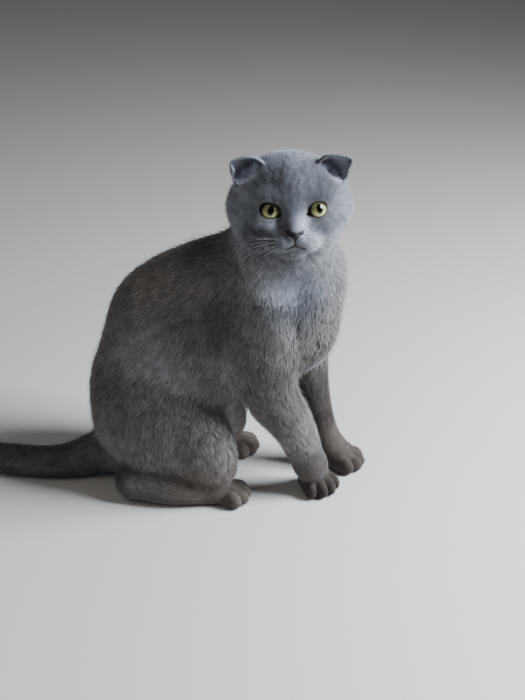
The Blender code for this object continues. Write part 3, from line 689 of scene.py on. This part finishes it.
def unwrap(skin):
    bpy.context.view_layer.objects.active = skin
    skin.select_set(True)
    bpy.ops.object.mode_set(mode="EDIT")
    bpy.ops.mesh.select_all(action="SELECT")
    bpy.ops.uv.smart_project(angle_limit=math.radians(70), island_margin=0.001)
    bpy.ops.object.mode_set(mode="OBJECT")
    skin.data.uv_layers[0].name = "OFBake"


def read(collection, name, width, kind=float):
    values = np.empty(len(collection) * width, kind)
    collection.foreach_get(name, values)
    return values.reshape(-1, width)


def ripple(points, wavelength, seed):
    """A smooth random wave between about -1 and 1."""
    drawn = np.random.default_rng(seed)
    total = np.zeros(len(points))
    for _ in range(7):
        way = unit(drawn.normal(size=3)) * 2 * math.pi / wavelength * drawn.uniform(0.6, 1.5)
        total += np.sin(points @ way + drawn.uniform(0, 2 * math.pi))
    return total / 3


# Places on the face


def line_distance(points, line):
    """Distance of points from a line, in centimetres, where it is less than 1."""
    return Tube(line, np.zeros(len(line)), steps=1).distance(points)


def mouth_distance(local):
    """Distance in centimetres from the mouth and the groove above it."""
    flat = np.array((1.0, 1.0, 0.3))
    nearest = line_distance(local * flat, GROOVE * flat)
    for side in (-1, 1):
        lips = LIPS * flat * (side, 1, 1)
        nearest = np.minimum(nearest, line_distance(local * flat, lips) + 0.04 * np.abs(local[:, 0]))
    return np.where(local[:, 2] > 2.0, nearest, 9.0)


def mouth_line(local, width):
    return held(1.5 - mouth_distance(local) / width)


def leather(local):
    """1 on the bare nose, 0 on the hair round it."""
    heights = (-2.5, -2.38, -2.2, -2.0, -1.8, -1.62)
    half_width = np.interp(local[:, 1], heights, (0.07, 0.12, 0.26, 0.52, 0.84, 0.78))
    dip = 0.12 * np.exp(-((local[:, 0] / 0.3) ** 2))
    inside = np.minimum(half_width - np.abs(local[:, 0]), -1.54 - dip - local[:, 1])
    inside = np.minimum(inside, local[:, 1] + 2.5)
    inside = np.where(local[:, 2] > 3.3, inside, -1.0)
    return held(0.5 + inside / 0.07)


def toe_gaps(points):
    """1 in the creases between the toes, 0 away from them. The skin there is painted near black as painted
    shade.
    """
    gap = np.zeros(len(points))
    low = points[:, 2] < 2.4 * CM
    for side, leg in itertools.product((-1, 1), (hind_leg_masses, foreleg_masses)):
        *_, (whole_paw, _) = leg(side)
        toes = np.sort([toe.distance(points[low]) for toe in whole_paw.shapes[0].shapes], axis=0) / CM
        between = held(1 - (toes[1] - toes[0]) / 0.16) * (toes[0] < 0.3)
        gap[low] = np.maximum(gap[low], between)
    return gap


def lid_rim(points):
    """1 on the dark rims of the lids, wider above the eye and beside the nose."""
    rim = np.zeros(len(points))
    for side in (-1, 1):
        far = np.min([opening.distance(points) for opening in lid_openings(side)], axis=0) / CM
        local = (points - eye_centre(side)) @ eye_axes(side).T / CM
        width = 0.05 + 0.08 * held(local[:, 1] / 0.6) + 0.04 * (local[:, 0] * side < -0.7)
        near = held(1 - (far - width) / 0.05)
        rim = np.maximum(rim, near * (lengths(local) < EYE_RADIUS + 0.5))
    return rim


def ear_shares(points):
    """How far each point is on an ear, and the way to that ear's tip."""
    share = np.zeros(len(points))
    way = np.zeros((len(points), 3))
    for side in (-1, 1):
        near = lengths(points - in_head(side * 3.9, 3.2, 0.8)) < 3.2 * CM
        far = ear_leaf(side).distance(points[near]) / CM
        share[near] = held(1 - far / 0.12)
        way[near] = unit(in_head(side * 4.9, 3.6, 2.6) - points[near])
    return share, way


def ear_inside(points, normals):
    """1 on the surfaces that face each other under a folded ear."""
    inside = np.zeros(len(points))
    for side in (-1, 1):
        offset = in_head(side * 3.95, 2.9, 1.0) - points
        near = held((1.8 - lengths(offset) / CM) / 0.4)
        towards = (normals * unit(offset)).sum(axis=1)
        inside = np.maximum(inside, near * held((towards - 0.3) / 0.2))
    return inside


# Colours, as shares of red, green and blue

BODY_COLOUR = np.array((0.205, 0.19, 0.18))
HEAD_COLOUR = np.array((0.182, 0.196, 0.226))
PAW_COLOUR = np.array((0.19, 0.157, 0.138))
LEATHER_COLOUR = np.array((0.016, 0.015, 0.018))
# Near black: the rims of the lids, the mouth line, and painted shade in the creases between the toes
DARK_RIM_AND_SHADE_COLOUR = np.array((0.012, 0.01, 0.009))
# Under a folded ear: the skin's own colour made much lighter, as painted light in the shaded hollow
EAR_SKIN_AND_PAINTED_LIGHT_COLOUR = np.array((0.42, 0.41, 0.45))
TAN_COLOUR = np.array((0.42, 0.33, 0.29))
SKIN_TONE = 0.8  # how light the skin is beside the tufts on it


def spot(points, place, spread):
    """1 at a place and less round it. spread is a radius squared, or one for each axis."""
    return np.exp(-np.sum((points - place) ** 2 / spread, axis=1))


def coat_colour(points, lightness):
    """Blue grey on the head and chest, a warmer grey behind, browner on the paws, a painted highlight on the
    flank.
    """
    body_points = in_body_frame(points)
    left, back, up = body_points.T
    chest = spot(body_points, (-5.6, -7.6, 25), 18)
    # Painted highlight: the right flank is given the head's cooler blue grey
    flank_highlight = spot(body_points, (-8, 5.5, 16), 14)
    upper = held((up - 23) / 8)
    cool = np.maximum.reduce([upper * upper * (3 - 2 * upper), 1.2 * chest, 0.7 * flank_highlight])
    colour = blended(BODY_COLOUR, HEAD_COLOUR, np.minimum(cool, 1.15))
    colour = blended(colour, PAW_COLOUR, held(1.6 - up / 4) * held((6 - back) / 3))
    left_leg = held((left - 2) * 0.8) * (back < -4) * held((12 - up) / 3)
    colour = blended(colour, PAW_COLOUR * 1.15, left_leg)
    outer_toe = spot(body_points, (-5.7, -2.2, 0.9), 0.5)
    colour = blended(colour, TAN_COLOUR, 0.7 * outer_toe)
    local = in_head_frame(points)
    on_forehead = spot(local, (0, 3.2, 2.4), np.array((2.6, 1.8, 2.4)) ** 2)
    stripes = 0.28 * on_forehead * ripple(local * (1, 0.22, 0.22), 0.9, 8)
    stripes += 0.14 * share_of_head(points) * ripple(local * (1, 0.5, 0.5), 0.6, 11)
    patches = 1 + 0.06 * ripple(points, 0.05, 3) + 0.06 * ripple(points, 0.012, 4) + stripes
    return colour * (lightness * patches)[:, None]


def colour_skin(skin):
    """Gives the skin's points their colour and gloss."""
    mesh = skin.data
    points = read(mesh.vertices, "co", 3)
    local = in_head_frame(points)
    colour = coat_colour(points, coat_at(points)[:, 2]) * SKIN_TONE
    gloss = np.zeros(len(points))
    bare = [
        (leather(local), LEATHER_COLOUR, 0.4),
        (ear_inside(points, read(mesh.vertices, "normal", 3)), EAR_SKIN_AND_PAINTED_LIGHT_COLOUR, 0.1),
        (mouth_line(local, 0.11), DARK_RIM_AND_SHADE_COLOUR, 0.3),
        # Painted shade: the creases between the toes are near black
        (toe_gaps(points), DARK_RIM_AND_SHADE_COLOUR, 0.0),
        (lid_rim(points), DARK_RIM_AND_SHADE_COLOUR, 0.7),
    ]
    for share, bare_colour, shine in bare:
        colour = blended(colour, bare_colour, share)
        gloss = gloss * (1 - share) + shine * share
    add_colour(mesh, colour)
    mesh.attributes.new("gloss", "FLOAT", "POINT").data.foreach_set("value", gloss)


def add_colour(mesh, colour):
    attribute = mesh.color_attributes.new("tint", "FLOAT_COLOR", "POINT")
    with_alpha = np.pad(colour, ((0, 0), (0, 1)), constant_values=1.0)
    attribute.data.foreach_set("color", with_alpha.ravel())


def tuft_roots(skin):
    """Where tufts stand on the skin: points, normals and places on its unwrap."""
    mesh = skin.data
    mesh.calc_loop_triangles()
    corners = read(mesh.loop_triangles, "vertices", 3, np.int32)
    loops = read(mesh.loop_triangles, "loops", 3, np.int32)
    points = read(mesh.vertices, "co", 3)
    normals = read(mesh.vertices, "normal", 3)
    maps = read(mesh.uv_layers["OFBake"].uv, "vector", 2)
    centres = points[corners].mean(axis=1)
    first, second, third = points[corners].transpose(1, 0, 2)
    crosses = np.cross(second - first, third - first)
    areas = lengths(crosses) / 2 / CM**2
    in_ear = ear_inside(centres, unit(crosses))
    length = coat_at(centres)[:, 1]
    local = in_head_frame(centres)
    face = [leather(local), lid_rim(centres), mouth_line(local, 0.08)]
    bare = np.maximum.reduce([*face, 1.5 * toe_gaps(centres), 0.3 * in_ear])
    for side in (-1, 1):
        bare[lengths(centres - eye_centre(side)) < (EYE_RADIUS + 0.02) * CM] = 1.0
    bare[centres[:, 2] < 1.5 * SKIN_LIFT] = 1.0
    cover = COVER * np.clip(length / 0.5, 0.62, 1) * (1 - held(bare))
    running = np.cumsum(areas * (cover / (0.5 * length * tuft_width(length))))
    count = int(running[-1])
    chosen = np.searchsorted(running, np.arange(count) + draw.uniform(0, 1, count))
    chosen = np.minimum(chosen, len(centres) - 1)
    weights = draw.dirichlet((1.0, 1.0, 1.0), count)[:, :, None]
    order = draw.permutation(count)
    chosen, weights = chosen[order], weights[order]
    corners, loops = corners[chosen], loops[chosen]
    between = [(values * weights).sum(axis=1) for values in (points[corners], normals[corners], maps[loops])]
    return between[0], unit(between[1]), between[2]


def tuft_width(length):
    """A tuft's width, in centimetres like its length."""
    return 0.009 + 0.056 * length


def grow_tufts(skin):
    """The points, shading normals, colours and map places of all tufts, five to a tuft."""
    points, normals, maps = tuft_roots(skin)
    count = len(points)
    depth, length, lightness, locks = coat_at(points).T
    lie = lie_at(points)
    on_ear, to_tip = ear_shares(points)
    lie = blended(lie, to_tip, on_ear)
    in_ear = ear_inside(points, normals)
    depth = depth * (1 - on_ear) + (0.05 + 0.1 * in_ear) * on_ear
    length = length * (1 - on_ear) + (0.2 + 0.14 * in_ear) * on_ear
    length *= np.clip(mouth_distance(in_head_frame(points)) / 0.45, 0.4, 1)
    lie = unit(lie - normals * (lie * normals).sum(axis=1, keepdims=True))
    across = np.cross(normals, lie)
    turn = np.radians(draw.normal(0, 9, count) + 8 * ripple(points, 0.03, 5))
    lie = lie * np.cos(turn)[:, None] + across * np.sin(turn)[:, None]
    across = np.cross(normals, lie)

    guard = draw.uniform(0, 1, count) < GUARD_SHARE

    def varied(values, low, high, on_guard):
        """Values varied from tuft to tuft, as a column in metres."""
        return (values * draw.uniform(low, high, count) * np.where(guard, on_guard, 1.0) * CM)[:, None]

    width = varied(tuft_width(length), 0.7, 1.3, 0.6)
    reach = varied(length, 0.7, 1.25, 1.3)
    height = varied(depth, 0.6, 1.1, 1.9)
    along = np.sqrt(np.maximum(reach**2 - height**2, (0.3 * reach) ** 2))
    tips = points + lie * along + normals * height
    light = draw.uniform(-1, 1, count)
    shade = 1 + 0.15 * light
    for spacing, draws_from, pull, tone in LOCKS:
        lock = nearest_of(tips, spacing)
        tips = gathered(tips, lock, draws_from, pull * locks)
        shade = shade + tone * light[lock]
    middles = points + (tips - points) * 0.42 + normals * (0.22 * height)
    left, right = middles - across * width / 2, middles + across * width / 2
    top = middles + normals * width * 0.35
    shape = np.stack([points - normals * ROOT_DEPTH, left, right, top, tips], axis=1)
    shape[:, :, 2] = np.maximum(shape[:, :, 2], COAT_LIFT)
    aside = across * 0.6
    facing = np.stack([normals, normals - aside, normals + aside, normals, normals + lie * 0.3], axis=1)
    # Tufts under a folded ear are made up to three times lighter: painted light in the shaded hollow
    colour = coat_colour(points, lightness * shade * (1 + 2.0 * in_ear))
    colours = colour[:, None, :] * TUFT_TONES[None, :, None]
    corners = np.array(((0, -1), (-1, 0), (1, 0), (0, 0.1), (0, 1))) * PATCH
    return shape, facing, colours, maps[:, None, :] + corners[None, :, :]


def nearest_of(tips, spacing):
    """For each tip, the index of the nearest of every so many tips."""
    tree = tree_of(tips[::spacing])
    return spacing * np.array([tree.find(tip)[1] for tip in tips])


def gathered(tips, nearest, reach, pull):
    """Tips drawn towards others, so that the hair stands in locks."""
    offset = tips[nearest] - tips
    near = np.minimum(1, reach / np.maximum(lengths(offset), 1e-9))
    return tips + offset * near[:, None] * pull[:, None]


def tuft_mesh(name, shape, facing, colours, maps):
    """Many tufts, each a closed spindle of six triangles, shaded like the coat's surface."""
    pattern = np.array(((0, 1, 3), (0, 3, 2), (0, 2, 1), (4, 3, 1), (4, 2, 3), (4, 1, 2)))
    faces = (pattern + 5 * np.arange(len(shape))[:, None, None]).reshape(-1, 3)
    mesh = bpy.data.meshes.new(name)
    mesh.from_pydata(shape.reshape(-1, 3), [], faces)
    add_colour(mesh, colours.reshape(-1, 3))
    layer = mesh.uv_layers.new(name="OFBake")
    layer.uv.foreach_set("vector", maps.reshape(-1, 2)[faces.ravel()].ravel())
    mesh.shade_smooth()
    mesh.normals_split_custom_set_from_vertices(unit(facing.reshape(-1, 3)))
    return mesh


def make_coat(skin, material):
    tufts = grow_tufts(skin)
    count = len(tufts[0])
    pieces = math.ceil(count / TUFTS_IN_PIECE)
    for number, chosen in enumerate(np.array_split(np.arange(count), pieces), start=1):
        name = f"coat_layer_{number}"
        piece = put(name, tuft_mesh(name, *[values[chosen] for values in tufts]))
        piece.data.materials.append(material)
        yield piece


# Eyes and whiskers

# The eyeballs, in centimetres
PUPIL = (0.27, 0.45)  # half width and half height
GAZE = (0.12, 0.1)  # how far the irises are turned to the cat's left and up
CORNEA_RADIUS = 0.72
CORNEA_BULGE = 0.045
BEHIND = (2.0, 2.0)  # a place outside the iris, for the back of the ball
# The iris: distances from its middle and the colours there
IRIS = [(0.25, (0.15, 0.13, 0.04)), (0.4, (0.25, 0.25, 0.09)), (0.58, (0.37, 0.4, 0.18))]
IRIS += [(0.7, (0.22, 0.22, 0.09)), (0.78, (0.02, 0.016, 0.01))]
WHISKER_RADIUS = 0.00008  # metres


def finished(name, work, material):
    """The object of a bmesh, shaded smooth."""
    mesh = bpy.data.meshes.new(name)
    work.to_mesh(mesh)
    work.free()
    mesh.shade_smooth()
    mesh.materials.append(material)
    return put(name, mesh)


def placed(axes, point):
    """The matrix that turns to the axes in the rows and moves to a point."""
    return Matrix.Translation(Vector(point)) @ Matrix([Vector(axis) for axis in axes]).transposed().to_4x4()


def make_eye(side, name, material):
    """An eyeball with the cornea's bulge. A map holds places across the iris, in centimetres."""
    work = bmesh.new()
    bmesh.ops.create_uvsphere(work, u_segments=64, v_segments=48, radius=EYE_RADIUS * CM)
    layer = work.loops.layers.uv.new("iris")
    for face in work.faces:
        for loop in face.loops:
            x, y, z = loop.vert.co / CM
            loop[layer].uv = (x - GAZE[0], y - GAZE[1]) if z > 0 else BEHIND
    for vertex in work.verts:
        if vertex.co.z > 0:
            aside = math.hypot(vertex.co.x, vertex.co.y) / CM
            vertex.co.z += CORNEA_BULGE * CM * max(0.0, 1.0 - (aside / CORNEA_RADIUS) ** 2)
    bmesh.ops.transform(work, matrix=placed(eye_axes(side), eye_centre(side)), verts=work.verts)
    return finished(name, work, material)


def add_hair(work, line, radius):
    """A thin tapered tube along a line of points of the world."""
    line = smooth_through(np.array(line), 5)
    rings = []
    for index, point in enumerate(line[:-1]):
        along = unit(line[index + 1] - point)
        across = unit(np.cross(along, (0, 0, 1)))
        upward = np.cross(across, along)
        taper = radius * (1 - index / (len(line) - 1)) ** 0.7
        corners = [point + offset * taper for offset in (across, upward, -across, -upward)]
        rings.append([work.verts.new(corner) for corner in corners])
    tip = work.verts.new(line[-1])
    for corner, after in ((0, 1), (1, 2), (2, 3), (3, 0)):
        for first, second in zip(rings[:-1], rings[1:]):
            work.faces.new((first[corner], first[after], second[after], second[corner]))
        work.faces.new((rings[-1][corner], rings[-1][after], tip))
    work.faces.new(rings[0][::-1])


def make_whiskers(material):
    """Four rows of three whiskers on each side of the muzzle."""
    work = bmesh.new()
    for side, row, place in itertools.product((-1, 1), range(4), range(3)):
        start = np.array((1.2 + 0.36 * place, -2.3 - 0.25 * row, 4.05 - 0.42 * place))
        long = (3.0 + 0.7 * place - 0.25 * row) * draw.uniform(0.85, 1.1)
        out = unit(np.array((1, 0.06 - 0.13 * row, 0.12 - 0.16 * place)))
        droop = np.array((0.05, -0.16 - 0.05 * row, -0.35))
        line = [start + out * long * t + droop * long * t * t * 0.6 for t in (-0.03, 0.3, 0.65, 1.0)]
        add_hair(work, on_side(side, line), WHISKER_RADIUS)
    return finished("whiskers", work, material)


# Materials


class Nodes:
    """A material's nodes, with short calls to make and join them."""

    def __init__(self, name):
        self.material = bpy.data.materials.new(name)
        self.material.use_nodes = True
        self.tree = self.material.node_tree
        self.shader = self.tree.nodes["Principled BSDF"]

    def node(self, kind, inputs=None, **settings):
        made = self.tree.nodes.new(kind)
        for key, value in settings.items():
            setattr(made, key, value)
        for key, value in (inputs or {}).items():
            self.feed(made, key, value)
        return made

    def feed(self, node, key, value):
        if isinstance(value, bpy.types.NodeSocket):
            self.tree.links.new(value, node.inputs[key])
        else:
            node.inputs[key].default_value = value

    def math(self, operation, *values):
        return self.node("ShaderNodeMath", dict(enumerate(values)), operation=operation).outputs[0]

    def vector(self, operation, *values):
        made = self.node("ShaderNodeVectorMath", dict(enumerate(values)), operation=operation)
        return made.outputs["Value" if operation == "LENGTH" else "Vector"]

    def ramp(self, value, stops):
        made = self.node("ShaderNodeValToRGB", {"Fac": value})
        elements = made.color_ramp.elements
        while len(elements) < len(stops):
            elements.new(0.5)
        for element, (place, colour) in zip(elements, stops):
            element.position = place
            element.color = (*colour, 1.0)
        return made.outputs["Color"]

    def noise(self, place, scale, detail):
        inputs = {"Vector": place, "Scale": scale, "Detail": detail}
        return self.node("ShaderNodeTexNoise", inputs).outputs["Fac"]

    def multiplied(self, first, second):
        inputs = {"Factor": 1.0, "A": first, "B": second}
        made = self.node("ShaderNodeMix", inputs, data_type="RGBA", blend_type="MULTIPLY")
        return made.outputs["Result"]

    def set(self, **values):
        for key, value in values.items():
            self.feed(self.shader, key.replace("_", " "), value)


def tinted(nodes, scale, spread):
    """The tint attribute, made a little lighter and darker by fine noise."""
    tint = nodes.node("ShaderNodeAttribute", attribute_name="tint").outputs["Color"]
    place = nodes.node("ShaderNodeTexCoord").outputs["Object"]
    noise = nodes.noise(place, scale, 3.0)
    grey = nodes.ramp(noise, [(0.3, (1 - spread,) * 3), (0.7, (1 + spread,) * 3)])
    return nodes.multiplied(tint, grey), noise


def coat_material():
    nodes = Nodes("Coat")
    colour, _ = tinted(nodes, 900.0, 0.1)
    nodes.set(Base_Color=colour, Roughness=0.7, Specular_IOR_Level=0.25)
    nodes.set(Sheen_Weight=0.3, Sheen_Roughness=0.35, Sheen_Tint=(0.8, 0.86, 1.0, 1.0))
    return nodes.material


def skin_material():
    nodes = Nodes("Skin")
    colour, noise = tinted(nodes, 1400.0, 0.2)
    gloss = nodes.node("ShaderNodeAttribute", attribute_name="gloss").outputs["Fac"]
    roughness = nodes.math("SUBTRACT", 0.9, nodes.math("MULTIPLY", gloss, 0.6))
    bump = nodes.node("ShaderNodeBump", {"Height": noise, "Strength": 0.35, "Distance": 0.0004})
    nodes.set(Base_Color=colour, Roughness=roughness, Specular_IOR_Level=0.2, Normal=bump.outputs["Normal"])
    return nodes.material


def eye_material():
    """A yellow green iris with fine fibres, an upright oval pupil, a wet clear coat and painted lid shadow.
    """
    nodes = Nodes("Eye")
    spot = nodes.node("ShaderNodeUVMap", uv_map="iris").outputs["UV"]
    far = nodes.vector("LENGTH", spot)
    oval = nodes.vector("LENGTH", nodes.vector("DIVIDE", spot, (*PUPIL, 1.0)))
    depth = nodes.node("ShaderNodeCombineXYZ", {"Z": nodes.math("MULTIPLY", far, 0.35)}).outputs[0]
    round_iris = nodes.vector("ADD", nodes.vector("NORMALIZE", spot), depth)
    fibres = nodes.noise(round_iris, 16.0, 4.0)
    level = nodes.math("MULTIPLY_ADD", nodes.math("SUBTRACT", fibres, 0.5), 0.2, far)
    iris = nodes.ramp(level, IRIS)
    pupil = nodes.ramp(oval, [(0.92, (0.0,) * 3), (1.0, (1.0,) * 3)])
    height = nodes.node("ShaderNodeSeparateXYZ", {"Vector": spot}).outputs["Y"]
    # Painted shadow of the upper lid: the iris and pupil grow darker towards the top of the eye
    lid_shadow = nodes.ramp(nodes.math("ADD", height, 0.5), [(0.3, (1.0,) * 3), (0.7, (0.28, 0.27, 0.25))])
    colour = nodes.multiplied(nodes.multiplied(iris, pupil), lid_shadow)
    nodes.set(Base_Color=colour, Roughness=0.4, Specular_IOR_Level=0.0, Coat_Weight=0.8, Coat_Roughness=0.02)
    return nodes.material


def plain_material(name, colour, roughness):
    nodes = Nodes(name)
    nodes.set(Base_Color=(*colour, 1.0), Roughness=roughness)
    return nodes.material


# The stage

VIEW_AZIMUTH = -75.0  # degrees, of the camera round the cat, from its hips' heading
VIEW_ELEVATION = 26.0
CAMERA_PLACE = (-98.6, -29.7, 65.1)  # centimetres, in the body frame
FOCAL_PIXELS = 1150.0
PICTURE_HEIGHT = 700.0  # pixels
SENSOR_HEIGHT = 36.0  # millimetres
FLOOR_REACH = 6.0  # metres, from the middle to a side
LIT_POINT = Vector((0.0, -0.12, 0.22))  # metres, where the lamps point


def make_camera():
    """Looks at the cat. Returns the view's axes to the right and back."""
    data = bpy.data.cameras.new("camera")
    data.sensor_fit = "VERTICAL"
    data.sensor_height = SENSOR_HEIGHT
    data.lens = FOCAL_PIXELS * SENSOR_HEIGHT / PICTURE_HEIGHT
    data.clip_start = 0.01
    camera = put("camera", data)
    azimuth, elevation = math.radians(VIEW_AZIMUTH), math.radians(VIEW_ELEVATION)
    back = Vector((math.sin(azimuth), -math.cos(azimuth), math.tan(elevation))).normalized()
    right = Vector((0, 0, 1)).cross(back).normalized()
    camera.matrix_world = placed((right, back.cross(right), back), at(*CAMERA_PLACE))
    bpy.context.scene.camera = camera
    return right, back


def make_stage():
    mesh = bpy.data.meshes.new("floor")
    corners = [(x * FLOOR_REACH, y * FLOOR_REACH, 0) for x, y in ((-1, -1), (1, -1), (1, 1), (-1, 1))]
    mesh.from_pydata(corners, [], [(0, 1, 2, 3)])
    floor = put("floor", mesh)
    mesh.materials.append(plain_material("Floor", (0.62, 0.61, 0.59), 0.7))
    world = bpy.data.worlds.new("studio")
    world.use_nodes = True
    background = world.node_tree.nodes["Background"]
    background.inputs["Color"].default_value = (0.95, 0.97, 1.0, 1.0)
    background.inputs["Strength"].default_value = 0.11
    bpy.context.scene.world = world


def add_lamp(name, direction, distance, size, watts, colour):
    """A square soft lamp, some way off in a direction, that points at the cat."""
    data = bpy.data.lights.new(name, "AREA")
    data.size = size
    data.energy = watts
    data.color = colour
    lamp = put(name, data)
    direction = Vector(direction).normalized()
    turn = direction.to_track_quat("Z", "Y")
    lamp.matrix_world = Matrix.LocRotScale(LIT_POINT + direction * distance, turn, None)


def main():
    right, back = make_camera()
    make_stage()
    add_lamp("window", right * 0.95 + back * 0.22 + Vector((0, 0, 0.45)), 1.3, 0.6, 66.0, (0.9, 0.95, 1.0))
    add_lamp("room", -right * 0.7 + back * 0.8 + Vector((0, 0, 0.6)), 2.0, 1.4, 6.0, (1.0, 0.93, 0.85))

    skin = make_skin()
    unwrap(skin)
    colour_skin(skin)
    skin.data.materials.append(skin_material())
    flesh = [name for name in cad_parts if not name.startswith("eye")]
    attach(skin, "root")
    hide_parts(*flesh)

    for piece in make_coat(skin, coat_material()):
        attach(piece, "root")

    iris = eye_material()
    for side, name in ((1, "left"), (-1, "right")):
        eye = make_eye(side, f"eyeball_{name}", iris)
        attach(eye, "root")
        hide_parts(f"eye_{name}")

    whiskers = make_whiskers(plain_material("Whisker", (0.7, 0.7, 0.72), 0.4))
    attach(whiskers, "root")


main()
